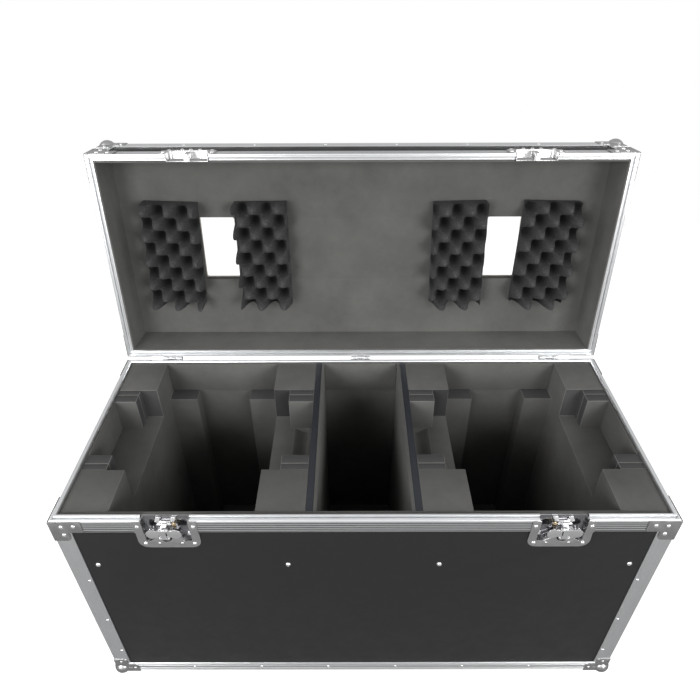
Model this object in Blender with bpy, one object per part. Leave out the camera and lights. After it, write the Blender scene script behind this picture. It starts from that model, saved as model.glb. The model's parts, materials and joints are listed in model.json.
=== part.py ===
"""Lighting flight case for two moving lights: a boarded base on castors, a hinged lid, turn latches and foam.

Metres, +Z up. The origin is the middle of the base's underside, where the castor plates meet it. X runs from
left to right and Y from front to back. The lid is held open on its hinges, as it stands while being packed.
"""

import math

import bmesh
import bpy
from mathutils import Matrix, Vector

# Whole case
CASE_WIDTH = 1.000
CASE_DEPTH = 0.420
BASE_HEIGHT = 0.485
LID_HEIGHT = 0.103
LID_OPENING = math.radians(96.6)

# Fits
GAP = 0.0003
RUNNING_GAP = 0.0003
RIM_FIT = 0.0005
OVERRUN = 0.010
SINK = 0.001

# Boards and edge extrusions
BOARD = 0.007
ANGLE_WALL = 0.0015
ANGLE_WIDTH = 0.030
BALL_RADIUS = 0.0165
BALL_PROUD = 0.008
BALL_PLATE = 0.0012
BALL_LEG = 0.045
BALL_LEG_WIDTH = 0.026
BALL_SEGMENTS = 14
BALL_RINGS = 9

# Rim extrusions: the base's has a tongue, and the lid's a rabbet that drops over it
RIM_FACE = 0.028
RIM_LEDGE = 0.007
TONGUE_WIDTH = 0.005
TONGUE_HEIGHT = 0.004
RIM_WEB = 0.0045
RIM_LEG = 0.014
LID_RIM_WEB = 0.0025
LID_RIM_LEG = 0.009
RIB_COUNT = 4
RIB_DEPTH = 0.0004
RIB_PITCH = 0.0046
RIB_WIDTH = 0.0022
RIB_FOOT = 0.0038

# Riveted corner braces over the rim
BRACE_PLATE = 0.0012
BRACE_ARM = 0.051
BRACE_ARM_HEIGHT = 0.026
BRACE_LEG_WIDTH = 0.027
BRACE_LEG_DROP = 0.048
BRACE_RIM_GAP = 0.001

# Linings
WALL_FOAM = 0.0029
FRONT_FOAM_INSET = 0.020
FLOOR_FOAM = 0.010
FOAM_DROP = 0.001
LID_FOAM_INSET = 0.0153
LID_FOAM_DROP = 0.003
LID_INSIDE_DEPTH = 0.0815

# Dividers and the centre bay
CENTRE_BAY_WIDTH = 0.154
DIVIDER_FOAM = 0.0055
DIVIDER_BOARD = 0.0115

# Foam blocks in the two lamp bays
SHELF_DROP = 0.073
POST_DEPTH = 0.088
NARROW_DEPTH = 0.035
OUTER_POST_WIDTH = 0.0765
OUTER_NARROW_WIDTH = 0.044
INNER_POST_WIDTH = 0.081
INNER_NARROW_WIDTH = 0.049
OUTER_STRIP_WIDTH = 0.059
INNER_STRIP_WIDTH = 0.064
STRIP_DEPTH = 0.034
POCKET_WIDTH = 0.036
POCKET_WALL = 0.012
POCKET_DEPTH = 0.020

# Lid windows and egg-crate pads, placed from the middle of a lamp bay and the hinge edge of the lid
WINDOW_SHIFT = 0.0013
WINDOW_WIDTH = 0.069
WINDOW_FROM_HINGE = 0.154
WINDOW_LENGTH = 0.128
WINDOW_CORNER = 0.005
PAD_SPREAD = 0.090
PAD_WIDTH = 0.100
PAD_FROM_HINGE = 0.105
PAD_LENGTH = 0.208
PAD_MIDDLE = 0.034
PAD_WAVE = 0.0155
PAD_PITCH_X = 0.048
PAD_PITCH_Y = 0.052
PAD_SAMPLES = 6

# Latches, placed by their middles; heights are measured from the rim
LATCH_INSET = 0.1835
LATCH_PLATE = 0.0012
LATCH_PLATE_WIDTH = 0.102
LATCH_PLATE_DROP = 0.068
LATCH_PLATE_CORNER = 0.016
LATCH_RIM_GAP = 0.0005
LATCH_STEP = 0.0018
LATCH_OPENING = 0.074
LATCH_NOTCH_GAP = 0.0008
DISH_DEPTH = 0.0135
DISH_LOBE_DROP = 0.052
DISH_MIDDLE_DROP = 0.041
DISH_SLOPE_TOP = -0.017
DISH_STEP_TOP = 0.011
DISH_STEP_FOOT = 0.0245
DISH_SCALLOP_RADIUS = 0.0105
DISH_SCALLOP_DROP = 0.0425
DISH_CORNER = 0.005
SPINDLE_OFFSET = 0.0048
SPINDLE_DROP = 0.030
JOURNAL_RADIUS = 0.0028
CAM_RADIUS = 0.0055
CAM_THROW = 0.0035
CAM_THICKNESS = 0.0023
FLANGE_RADIUS = 0.0090
FLANGE_THICKNESS = 0.0022
HEAD_WIDTH = 0.009
HEAD_HEIGHT = 0.022
HEAD_PROUD = 0.0024
HEAD_EAR = 0.0032
WING_REACH = 0.029
WING_RADIUS = 0.0105
WING_THICKNESS = 0.0013
WING_KNUCKLE_RADIUS = 0.0020
WING_PIN_RADIUS = 0.0011
HOOK_BORDER = 0.0018
HOOK_LIFT_ROOM = 0.0013
HOOK_SIDE_ROOM = 0.0004
HOOK_BAR_TOP_DROP = 0.0135
HOOK_PRONG_WIDTH = 0.0075
HOOK_TOP_DROP = 0.003
HOOK_NEAR_END = 0.0115
HOOK_FAR_END = 0.0205
HOOK_TIP = 0.003
HOOK_TIP_REACH = 0.007
KEEPER_RISE = 0.045
KEEPER_OPENING_RISE = 0.025
KEEPER_BAR_WIDTH = 0.010

# Hinges
HINGE_INSET = 0.096
HINGE_OFFSET = 0.005
HINGE_WIDTH = 0.041
HINGE_LEAF = 0.0015
HINGE_LEAF_LENGTH = 0.042
KNUCKLE_RADIUS = 0.004
HINGE_PIN_RADIUS = 0.002
KNUCKLE_ROOM = 0.0006

# Sprung handles on the ends
HANDLE_DROP = 0.170
HANDLE_PLATE = 0.0012
HANDLE_PLATE_LENGTH = 0.165
HANDLE_PLATE_HEIGHT = 0.110
HANDLE_PLATE_CORNER = 0.008
HANDLE_OPENING_LENGTH = 0.138
HANDLE_OPENING_HEIGHT = 0.082
HANDLE_DISH_DEPTH = 0.016
HANDLE_ROD_RADIUS = 0.0035
HANDLE_GRIP_RADIUS = 0.0055
HANDLE_GRIP_ROOM = 0.012
HANDLE_SIDE_ROOM = 0.011
HANDLE_DROP_LENGTH = 0.048
HANDLE_BEND = 0.006
HANDLE_PIVOT_INSET = 0.0075
HANDLE_PIVOT_MARGIN = 0.013
HANDLE_LUG_HALF = 0.0055

# Castors
CASTOR_INSET_X = 0.080
CASTOR_INSET_Y = 0.078
CASTOR_HEIGHT = 0.128
CASTOR_PLATE_LENGTH = 0.100
CASTOR_PLATE_WIDTH = 0.085
CASTOR_PLATE = 0.003
CASTOR_PLATE_CORNER = 0.008
RACE_RADIUS = 0.028
RACE_HEIGHT = 0.008
FORK_HEAD_RADIUS = 0.026
FORK_HEAD = 0.004
KINGPIN_RADIUS = 0.006
FORK_LEG = 0.003
FORK_LEG_WIDTH = 0.034
FORK_LEG_FOOT_RADIUS = 0.013
CASTOR_TRAIL = 0.035
AXLE_RADIUS = 0.005
AXLE_HEAD_RADIUS = 0.0085
AXLE_HEAD = 0.005
WHEEL_RADIUS = 0.050
WHEEL_WIDTH = 0.032
WHEEL_TREAD_DEPTH = 0.011
WHEEL_WEB = 0.014
WHEEL_HUB_RADIUS = 0.014
WHEEL_SHOULDER = 0.004
WHEEL_SIDES = 24
ROUND_SIDES = 24
SMALL_SIDES = 12
ARC_STEPS = 4

# Levels and insets that follow from the sizes above
HALF_WIDTH = CASE_WIDTH / 2
HALF_DEPTH = CASE_DEPTH / 2
FRONT = -HALF_DEPTH
RIM_WIDTH = RIM_LEDGE + TONGUE_WIDTH
BOARD_OUT = ANGLE_WALL + GAP
BOARD_IN = BOARD_OUT + BOARD
LINING_OUT = BOARD_IN + GAP
LINING_IN = LINING_OUT + WALL_FOAM
LID_RABBET = TONGUE_HEIGHT + RIM_FIT
LID_WEB_TOP = LID_RABBET + LID_RIM_WEB
LID_LEG_TOP = LID_WEB_TOP + LID_RIM_LEG
FLOOR_TOP = BOARD_IN + GAP + FLOOR_FOAM
BLOCK_FLOOR = FLOOR_TOP + GAP
FOAM_TOP = BASE_HEIGHT - FOAM_DROP
SHELF_TOP = BASE_HEIGHT - SHELF_DROP
LATCH_NOTCH = LATCH_OPENING / 2 + LATCH_PLATE + LATCH_NOTCH_GAP
LATCH_NOTCH_DROP = DISH_SCALLOP_DROP + DISH_SCALLOP_RADIUS + LATCH_PLATE + LATCH_NOTCH_GAP
DIVIDER_NEAR = CENTRE_BAY_WIDTH / 2 + DIVIDER_FOAM + GAP
DIVIDER_FAR = DIVIDER_NEAR + DIVIDER_BOARD
BAY_MIDDLE = (DIVIDER_FAR + HALF_WIDTH - LINING_IN) / 2
WINDOW_MIDDLE = BAY_MIDDLE + WINDOW_SHIFT
LATCH_X = HALF_WIDTH - LATCH_INSET
HINGE_X = HALF_WIDTH - HINGE_INSET
HINGE_AXIS = Vector((0, HALF_DEPTH + HINGE_OFFSET, BASE_HEIGHT))
HANDLE_BOX_GAP = GAP * 2
HANDLE_SPAN = HANDLE_OPENING_LENGTH - 2 * HANDLE_SIDE_ROOM
HANDLE_GRIP_LENGTH = HANDLE_SPAN - 2 * HANDLE_GRIP_ROOM

SIDES = {"left": -1, "right": 1}


def clear_scene():
    """Empties the scene that the file starts with."""
    for obj in list(bpy.data.objects):
        bpy.data.objects.remove(obj)


def material(name, colour, roughness, metallic=0.0):
    """A plain Principled finish."""
    made = bpy.data.materials.new(name)
    made.use_nodes = True
    shader = made.node_tree.nodes["Principled BSDF"]
    shader.inputs["Base Color"].default_value = (*colour, 1.0)
    shader.inputs["Roughness"].default_value = roughness
    shader.inputs["Metallic"].default_value = metallic
    return made


def object_from(name, bm, smooth=False):
    """A new object of a bmesh, its faces pointing outwards."""
    bmesh.ops.recalc_face_normals(bm, faces=bm.faces)
    mesh = bpy.data.meshes.new(name)
    bm.to_mesh(mesh)
    bm.free()
    if smooth:
        mesh.shade_smooth()
        mesh.set_sharp_from_angle(angle=math.radians(35))
    obj = bpy.data.objects.new(name, mesh)
    bpy.context.scene.collection.objects.link(obj)
    return obj


def lifted(point, axis, along):
    """A flat point as a point in space, at a distance along the axis across it."""
    a, b = point
    return {"X": (along, a, b), "Y": (a, along, b), "Z": (a, b, along)}[axis]


def prism(name, outline, axis, start, end):
    """A closed outline run along an axis. Its points are (y, z), (x, z) or (x, y) for X, Y and Z."""
    bm = bmesh.new()
    face = bm.faces.new([bm.verts.new(lifted(p, axis, start)) for p in outline])
    run = bmesh.ops.extrude_face_region(bm, geom=[face])["geom"]
    moved = [v for v in run if isinstance(v, bmesh.types.BMVert)]
    bmesh.ops.translate(bm, verts=moved, vec=lifted((0, 0), axis, end - start))
    return object_from(name, bm)


def rectangle(low, high):
    """The outline of a rectangle between two corners."""
    return [low, (high[0], low[1]), high, (low[0], high[1])]


def block(name, low, high):
    """A block between its lowest and highest corner."""
    return prism(name, rectangle(low[:2], high[:2]), "Z", low[2], high[2])


def arc(centre, radius, start, end, steps=ARC_STEPS):
    """Points on an arc, with angles in degrees."""
    turns = [math.radians(start + (end - start) * i / steps) for i in range(steps + 1)]
    return [(centre[0] + radius * math.cos(t), centre[1] + radius * math.sin(t)) for t in turns]


def rounded_rectangle(low, high, radius):
    """The outline of a rectangle with round corners."""
    points = []
    corners = ((high[0], high[1], 0), (low[0], high[1], 90), (low[0], low[1], 180), (high[0], low[1], 270))
    for x, y, turn in corners:
        sx = 1 if x == high[0] else -1
        sy = 1 if y == high[1] else -1
        points += arc((x - sx * radius, y - sy * radius), radius, turn, turn + 90)
    return points


def cylinder(name, centre, axis, radius, length, sides=SMALL_SIDES, turn=0.0):
    """A cylinder by its middle, its axis, radius and length."""
    bm = bmesh.new()
    bmesh.ops.create_cone(
        bm, cap_ends=True, segments=sides, radius1=radius, radius2=radius, depth=length
    )
    bmesh.ops.rotate(bm, verts=bm.verts, matrix=Matrix.Rotation(turn, 3, "Z"))
    if axis != "Z":
        about = {"X": "Y", "Y": "X"}[axis]
        bmesh.ops.rotate(bm, verts=bm.verts, matrix=Matrix.Rotation(math.pi / 2, 3, about))
    bmesh.ops.translate(bm, verts=bm.verts, vec=centre)
    return object_from(name, bm, smooth=True)


def turned(name, profile, sides):
    """A profile of (radius, y) points turned a full circle about the Y axis."""
    bm = bmesh.new()
    ring = [bm.verts.new((r, y, 0)) for r, y in profile]
    edges = [bm.edges.new(pair) for pair in zip(ring, ring[1:] + ring[:1])]
    half_side = Matrix.Rotation(math.pi / sides, 3, "Y")
    bmesh.ops.rotate(bm, verts=ring, matrix=half_side)
    bmesh.ops.spin(
        bm, geom=ring + edges, cent=(0, 0, 0), axis=(0, 1, 0), angle=2 * math.pi, steps=sides, use_merge=True
    )
    bmesh.ops.remove_doubles(bm, verts=bm.verts, dist=GAP / 10)
    return object_from(name, bm, smooth=True)


def rail(name, section, stations, closed=False):
    """A section of (inset, height) points carried along stations of (x, y, inward x, inward y).

    A station at a corner points both ways inwards, which mitres the rail there.
    """
    bm = bmesh.new()
    rings = []
    for x, y, in_x, in_y in stations:
        rings.append([bm.verts.new((x + in_x * inset, y + in_y * inset, z)) for inset, z in section])
    pairs = list(zip(rings, rings[1:] + rings[:1]))
    for ring, following in pairs if closed else pairs[:-1]:
        for i, vertex in enumerate(ring):
            j = (i + 1) % len(ring)
            bm.faces.new((vertex, ring[j], following[j], following[i]))
    if not closed:
        bm.faces.new(rings[0])
        bm.faces.new(rings[-1])
    return object_from(name, bm)


def bent_rod(name, path, x, radius, sides=SMALL_SIDES):
    """A round rod bent along a path of (y, z) points at one X."""
    bm = bmesh.new()
    points = [Vector((0, y, z)) for y, z in path]
    rings = []
    for i, point in enumerate(points):
        before = (point - points[max(i - 1, 0)]).normalized()
        after = (points[min(i + 1, len(points) - 1)] - point).normalized()
        along = ((before or after) + (after or before)).normalized()
        across = Vector((0, -along.z, along.y)) / max(along.dot(before), along.dot(after))
        ring = []
        for k in range(sides):
            turn = 2 * math.pi * (k + 1 / 2) / sides
            offset = across * math.cos(turn) + Vector((1, 0, 0)) * math.sin(turn)
            ring.append(bm.verts.new(point + Vector((x, 0, 0)) + offset * radius))
        rings.append(ring)
    for ring, following in zip(rings, rings[1:]):
        for i, vertex in enumerate(ring):
            j = (i + 1) % sides
            bm.faces.new((vertex, ring[j], following[j], following[i]))
    bm.faces.new(rings[0])
    bm.faces.new(rings[-1])
    return object_from(name, bm, smooth=True)


def combine(body, others, operation):
    """Joins other solids to a body, or cuts them from it, and keeps the result as the body's mesh."""
    for other in others:
        modifier = body.modifiers.new(operation.title(), "BOOLEAN")
        modifier.operation = operation
        modifier.solver = "EXACT"
        modifier.object = other
        graph = bpy.context.evaluated_depsgraph_get()
        mesh = bpy.data.meshes.new_from_object(body.evaluated_get(graph))
        body.modifiers.clear()
        body.data = mesh
        bpy.data.objects.remove(other)
    return body


def join(body, *others):
    """The union of a body with other solids."""
    return combine(body, others, "UNION")


def cut(body, *others):
    """A body with other solids cut away."""
    return combine(body, others, "DIFFERENCE")


def place(obj, finish, about=None, shift=None):
    """Gives a piece its finish, shifts its mesh, and moves its origin to a point it turns about."""
    obj.data.materials.clear()
    obj.data.materials.append(finish)
    if shift:
        obj.data.transform(Matrix.Translation(shift))
    if about:
        obj.data.transform(Matrix.Translation(-Vector(about)))
        obj.location = about
    return obj


def inset_box(name, inset, low, high):
    """A block as large as the case's plan, drawn in on all four sides."""
    near = (-HALF_WIDTH + inset, FRONT + inset, low)
    far = (HALF_WIDTH - inset, HALF_DEPTH - inset, high)
    return block(name, near, far)


def rib_points(top, bottom, out):
    """The grooves of an extrusion's face, from top to bottom, as (inset, height) points."""
    points = []
    step = 1 if top > bottom else -1
    for i in reversed(range(RIB_COUNT)):
        foot = bottom + step * (RIB_FOOT + i * RIB_PITCH)
        points += [
            (out, foot + step * RIB_WIDTH),
            (out + RIB_DEPTH, foot + step * RIB_WIDTH * 2 / 3),
            (out + RIB_DEPTH, foot + step * RIB_WIDTH / 3),
            (out, foot),
        ]
    return points


def base_rim_section():
    """The base rim's section: ribbed face, ledge, tongue, and the leg behind the board."""
    top = BASE_HEIGHT
    return [
        (0, top),
        (RIM_LEDGE, top),
        (RIM_LEDGE, top + TONGUE_HEIGHT),
        (RIM_WIDTH, top + TONGUE_HEIGHT),
        (RIM_WIDTH, top - RIM_LEG),
        (LINING_OUT, top - RIM_LEG),
        (LINING_OUT, top - RIM_WEB),
        (ANGLE_WALL, top - RIM_WEB),
        (ANGLE_WALL, top - RIM_FACE),
        (0, top - RIM_FACE),
    ] + rib_points(top, top - RIM_FACE, 0)[::-1]


def lid_rim_section():
    """The lid rim's section, seen with the lid closed: the lip that lands on the ledge, and the rabbet."""
    low = BASE_HEIGHT + RIM_FIT
    rabbet = BASE_HEIGHT + LID_RABBET
    return [
        (0, low),
        (RIM_LEDGE - RIM_FIT, low),
        (RIM_LEDGE - RIM_FIT, rabbet),
        (RIM_WIDTH, rabbet),
        (RIM_WIDTH, BASE_HEIGHT + LID_LEG_TOP),
        (LINING_OUT, BASE_HEIGHT + LID_LEG_TOP),
        (LINING_OUT, BASE_HEIGHT + LID_WEB_TOP),
        (ANGLE_WALL, BASE_HEIGHT + LID_WEB_TOP),
        (ANGLE_WALL, BASE_HEIGHT + RIM_FACE),
        (0, BASE_HEIGHT + RIM_FACE),
    ] + rib_points(BASE_HEIGHT, BASE_HEIGHT + RIM_FACE, 0)[::-1]


def rim_around(name, section):
    """The rim along both ends and the back, with its short lengths outside the latches."""
    end = LATCH_X + LATCH_NOTCH
    return rail(
        name,
        section,
        [
            (-end, FRONT, 0, 1),
            (-HALF_WIDTH, FRONT, 1, 1),
            (-HALF_WIDTH, HALF_DEPTH, 1, -1),
            (HALF_WIDTH, HALF_DEPTH, -1, -1),
            (HALF_WIDTH, FRONT, -1, 1),
            (end, FRONT, 0, 1),
        ],
    )


def rim_between(name, section):
    """The rim's length between the two latches."""
    end = LATCH_X - LATCH_NOTCH
    return rail(name, section, [(-end, FRONT, 0, 1), (end, FRONT, 0, 1)])


def ball(name, x, y, z):
    """The dome of a ball corner, before the case's inside is cut from it."""
    bm = bmesh.new()
    bmesh.ops.create_uvsphere(bm, u_segments=BALL_SEGMENTS, v_segments=BALL_RINGS, radius=BALL_RADIUS)
    bmesh.ops.translate(bm, verts=bm.verts, vec=(x, y, z))
    return object_from(name, bm)


def corner_places():
    """The plan corners, as signs of X and Y."""
    return [(sx, sy) for sx in (-1, 1) for sy in (-1, 1)]


def corner_brace(name, sx, sy, near, far, foot_start, leg_end):
    """A riveted brace round one corner: an arm over the rim's face and a leg sunk in the corner angle."""
    x, y = sx * HALF_WIDTH, sy * HALF_DEPTH

    def wrap(inner, outer, reach):
        """An L in plan, from an inner to an outer distance outside the corner."""
        return [
            (x + sx * outer, y + sy * outer),
            (x + sx * outer, y - sy * reach),
            (x + sx * inner, y - sy * reach),
            (x + sx * inner, y + sy * inner),
            (x - sx * reach, y + sy * inner),
            (x - sx * reach, y + sy * outer),
        ]

    arm = prism(name, wrap(GAP, GAP + BRACE_PLATE, BRACE_ARM), "Z", near, far)
    leg = prism("leg", wrap(GAP, GAP + BRACE_PLATE, BRACE_LEG_WIDTH), "Z", (near + far) / 2, leg_end)
    sink = math.copysign(SINK, leg_end - foot_start)
    rooted = wrap(-ANGLE_WALL / 2, GAP + BRACE_PLATE / 2, BRACE_LEG_WIDTH - SINK)
    foot = prism("foot", rooted, "Z", foot_start + sink, leg_end - sink)
    return join(arm, leg, foot)


def corner_plate(name, sx, sy, end, inward):
    """A ball corner's plate: three short angles along the edges that meet at the ball."""
    edges = ((sx, sx * HALF_WIDTH), (sy, sy * HALF_DEPTH), (-inward, end))

    def corner_block(part, spans):
        """A block whose spans are measured inwards from the three edges."""
        sides = []
        for (sign, edge), (near, far) in zip(edges, spans):
            sides.append(sorted((edge - sign * near, edge - sign * far)))
        return block(part, [side[0] for side in sides], [side[1] for side in sides])

    plate = corner_block(name, [(-BALL_PLATE, BALL_LEG)] * 3)
    cut(plate, corner_block("inside", [(ANGLE_WALL / 2, BALL_LEG + OVERRUN)] * 3))
    for axis in range(3):
        spans = [(BALL_LEG_WIDTH, BALL_LEG + OVERRUN)] * 3
        spans[axis] = (-OVERRUN, OVERRUN)
        cut(plate, corner_block("face", spans))
    return plate


def edge_cage(name, low, high, capped_low):
    """The angle extrusions along the corners and one face of a box, with its four ball corners."""
    end, rim = (low, high) if capped_low else (high, low)
    inward = 1 if capped_low else -1
    cage = inset_box(name, 0, low, high)
    ball_inset = BALL_RADIUS - BALL_PROUD
    balls = [
        ball("ball", sx * (HALF_WIDTH - ball_inset), sy * (HALF_DEPTH - ball_inset), end + inward * ball_inset)
        for sx, sy in corner_places()
    ]
    join(cage, *balls)
    levels = sorted((end + inward * ANGLE_WALL, rim + inward * OVERRUN))
    cut(cage, inset_box("inside", ANGLE_WALL, *levels))
    band = sorted((end + inward * ANGLE_WIDTH, rim + inward * OVERRUN))
    cut(
        cage,
        block(
            "front_and_back",
            (-HALF_WIDTH + ANGLE_WIDTH, FRONT - OVERRUN, band[0]),
            (HALF_WIDTH - ANGLE_WIDTH, HALF_DEPTH + OVERRUN, band[1]),
        ),
        block(
            "ends",
            (-HALF_WIDTH - OVERRUN, FRONT + ANGLE_WIDTH, band[0]),
            (HALF_WIDTH + OVERRUN, HALF_DEPTH - ANGLE_WIDTH, band[1]),
        ),
        inset_box("face", ANGLE_WIDTH, end - OVERRUN, end + OVERRUN),
    )
    plates = [corner_plate("corner_plate", sx, sy, end, inward) for sx, sy in corner_places()]
    return join(cage, *plates)


def base_edges(finish):
    """The base's corner and bottom angles."""
    top = BASE_HEIGHT - RIM_FACE - GAP
    cage = edge_cage("base_edge_angles", 0, top, True)
    for sx, sy in corner_places():
        near = BASE_HEIGHT - BRACE_RIM_GAP
        far, leg_end = near - BRACE_ARM_HEIGHT, BASE_HEIGHT - BRACE_LEG_DROP
        join(cage, corner_brace("brace", sx, sy, near, far, top, leg_end))
    place(cage, finish)


def base_boards(finish):
    """The base's five boards: front and back at full width, the ends between them, and the floor inside."""
    top = BASE_HEIGHT - RIM_WEB - GAP
    out_x, in_x = HALF_WIDTH - BOARD_OUT, HALF_WIDTH - BOARD_IN
    out_y, in_y = HALF_DEPTH - BOARD_OUT, HALF_DEPTH - BOARD_IN
    front = block("base_front_board", (-out_x, -out_y, BOARD_OUT), (out_x, -in_y, top))
    for side in SIDES.values():
        cut(front, latch_notch("notch", side, -LATCH_NOTCH_DROP, OVERRUN))
    place(front, finish)
    place(block("base_back_board", (-out_x, in_y, BOARD_OUT), (out_x, out_y, top)), finish)
    for word, side in SIDES.items():
        x = sorted((side * out_x, side * in_x))
        end = block(f"base_{word}_board", (x[0], -in_y + GAP, BOARD_OUT), (x[1], in_y - GAP, top))
        cut(end, handle_opening("opening", side))
        place(end, finish)
    floor = block(
        "base_floor_board", (-in_x + GAP, -in_y + GAP, BOARD_OUT), (in_x - GAP, in_y - GAP, BOARD_IN)
    )
    place(floor, finish)


def latch_notch(name, side, low, high, inset=BOARD_IN + OVERRUN):
    """A cutter for a latch's dish, in from the front, between two heights from the rim."""
    x = side * LATCH_X
    return block(
        name,
        (x - LATCH_NOTCH, FRONT - OVERRUN, BASE_HEIGHT + low),
        (x + LATCH_NOTCH, FRONT + inset, BASE_HEIGHT + high),
    )


def handle_opening(name, side):
    """A cutter for a handle's dish through one end board and its lining."""
    height = HANDLE_OPENING_HEIGHT / 2 + HANDLE_PLATE + HANDLE_BOX_GAP
    length = HANDLE_OPENING_LENGTH / 2 + HANDLE_PLATE + HANDLE_BOX_GAP
    middle = BASE_HEIGHT - HANDLE_DROP
    x = sorted((side * (HALF_WIDTH + OVERRUN), side * (HALF_WIDTH - HANDLE_DISH_DEPTH - HANDLE_BOX_GAP)))
    return block(name, (x[0], -length, middle - height), (x[1], length, middle + height))


def wall_lining(finish):
    """The base's lining: thin foam on three walls, thick at the front, and both faces of the centre bay."""
    low = BOARD_IN + GAP
    ring = inset_box("base_wall_lining", LINING_OUT, low, BASE_HEIGHT - RIM_LEG - GAP)
    inner_x = HALF_WIDTH - LINING_IN
    inner_y = HALF_DEPTH - LINING_IN
    front = FRONT + FRONT_FOAM_INSET
    cut(ring, block("hollow", (-inner_x, front, low - OVERRUN), (inner_x, inner_y, BASE_HEIGHT)))
    behind_rim = RIM_WIDTH + GAP
    lip = block(
        "lip",
        (-HALF_WIDTH + behind_rim, FRONT + behind_rim, BASE_HEIGHT - RIM_LEG - OVERRUN),
        (HALF_WIDTH - behind_rim, front, FOAM_TOP),
    )
    join(ring, lip)
    for side in SIDES.values():
        x = sorted((side * CENTRE_BAY_WIDTH / 2, side * (CENTRE_BAY_WIDTH / 2 + DIVIDER_FOAM)))
        face = block("face", (x[0], front - SINK, BLOCK_FLOOR), (x[1], inner_y - GAP, FOAM_TOP))
        join(ring, face)
        deep = DISH_DEPTH + GAP
        cut(ring, latch_notch("notch", side, -LATCH_NOTCH_DROP, OVERRUN, deep))
        cut(ring, handle_opening("opening", side))
    place(ring, finish)


def floor_lining(finish):
    """The foam sheet on the floor, inside the wall lining."""
    x = HALF_WIDTH - LINING_IN - GAP
    sheet = block(
        "base_floor_lining",
        (-x, FRONT + FRONT_FOAM_INSET + GAP, BOARD_IN + GAP),
        (x, HALF_DEPTH - LINING_IN - GAP, FLOOR_TOP),
    )
    place(sheet, finish)


def dividers(finish):
    """The two upright boards beside the centre bay."""
    for word, side in SIDES.items():
        x = sorted((side * DIVIDER_NEAR, side * DIVIDER_FAR))
        board = block(
            f"{word}_divider",
            (x[0], FRONT + FRONT_FOAM_INSET + GAP, BLOCK_FLOOR),
            (x[1], HALF_DEPTH - LINING_IN - GAP, FOAM_TOP),
        )
        place(board, finish)


def foam_block(name, side, wall, toward, widths):
    """A shelf along one side of a bay, with posts, their narrow shoulders and a strip on the back wall.

    wall is the block's face against the divider or the end, and toward is +1 or -1 into the bay from there.
    """
    post, narrow, strip = widths
    front = FRONT + FRONT_FOAM_INSET + GAP
    back = HALF_DEPTH - LINING_IN - GAP

    def slab(part, width, y0, y1, low, high):
        x = sorted((side * wall, side * (wall + toward * width)))
        return block(part, (x[0], y0, low), (x[1], y1, high))

    shelf = slab(name, post, front, back, BLOCK_FLOOR, SHELF_TOP)
    root = SHELF_TOP - SINK
    shoulder = POST_DEPTH + NARROW_DEPTH
    join(
        shelf,
        slab("strip", post + strip, back - STRIP_DEPTH, back, BLOCK_FLOOR, SHELF_TOP),
        slab("front_post", post, front, front + POST_DEPTH, root, FOAM_TOP),
        slab("back_post", post, back - POST_DEPTH, back, root, FOAM_TOP),
        slab("front_shoulder", narrow, front, front + shoulder, root, FOAM_TOP),
        slab("back_shoulder", narrow, back - shoulder, back, root, FOAM_TOP),
    )
    return shelf


def pocket_outline(wall, width):
    """A hand pocket in section: straight down at its wall, with a floor that rises smoothly to the shelf."""
    steps = 2 * ARC_STEPS
    half = (POCKET_DEPTH + SINK) / 2
    floor = []
    for i in range(steps + 1):
        drop = half * (1 + math.cos(math.pi * i / steps))
        floor.append((wall + width * i / steps, SHELF_TOP + SINK - drop))
    top = SHELF_TOP + OVERRUN
    return [(wall, top)] + floor + [(wall + width, top)]


def foam_blocks(finish):
    """Four cut foam blocks, two to a bay, with a hand pocket in the shelf beside each divider."""
    outer = HALF_WIDTH - LINING_IN - GAP
    inner = DIVIDER_FAR + GAP
    for word, side in SIDES.items():
        sizes = (OUTER_POST_WIDTH, OUTER_NARROW_WIDTH, OUTER_STRIP_WIDTH)
        outer_block = foam_block(f"{word}_outer_foam", side, outer, -1, sizes)
        place(cut(outer_block, handle_opening("opening", side)), finish)
        sizes = (INNER_POST_WIDTH, INNER_NARROW_WIDTH, INNER_STRIP_WIDTH)
        inner_block = foam_block(f"{word}_inner_foam", side, inner, 1, sizes)
        shoulder = POST_DEPTH + NARROW_DEPTH
        front = FRONT + FRONT_FOAM_INSET + GAP
        back = HALF_DEPTH - LINING_IN - GAP
        outline = pocket_outline(side * (inner + POCKET_WALL), side * POCKET_WIDTH)
        pocket = prism("pocket", outline, "Y", front + shoulder, back - shoulder)
        place(cut(inner_block, pocket), finish)


def lid_boards(board_finish, pivot):
    """The lid's four side boards as one frame, and its top board with two windows."""
    low = BASE_HEIGHT + LID_WEB_TOP + GAP
    high = BASE_HEIGHT + LID_HEIGHT - BOARD_IN - GAP
    frame = inset_box("lid_side_boards", BOARD_OUT, low, high)
    cut(frame, inset_box("hollow", BOARD_IN, low - OVERRUN, high + OVERRUN))
    for side in SIDES.values():
        cut(frame, latch_notch("notch", side, 0, KEEPER_OPENING_RISE + LATCH_PLATE + LATCH_NOTCH_GAP))
    on_lid(frame, board_finish, pivot)
    top = inset_box(
        "lid_top_board", BOARD_OUT, BASE_HEIGHT + LID_HEIGHT - BOARD_IN, BASE_HEIGHT + LID_HEIGHT - BOARD_OUT
    )
    for side in SIDES.values():
        cut(top, lid_window("window", side))
    on_lid(top, board_finish, pivot)


def lid_window(name, side):
    """A cutter for one of the openings through the lid's top."""
    x = sorted((side * (WINDOW_MIDDLE - WINDOW_WIDTH / 2), side * (WINDOW_MIDDLE + WINDOW_WIDTH / 2)))
    far = HALF_DEPTH - WINDOW_FROM_HINGE
    outline = rounded_rectangle((x[0], far - WINDOW_LENGTH), (x[1], far), WINDOW_CORNER)
    low = BASE_HEIGHT + LID_INSIDE_DEPTH - OVERRUN
    return prism(name, outline, "Z", low, BASE_HEIGHT + LID_HEIGHT + OVERRUN)


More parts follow.
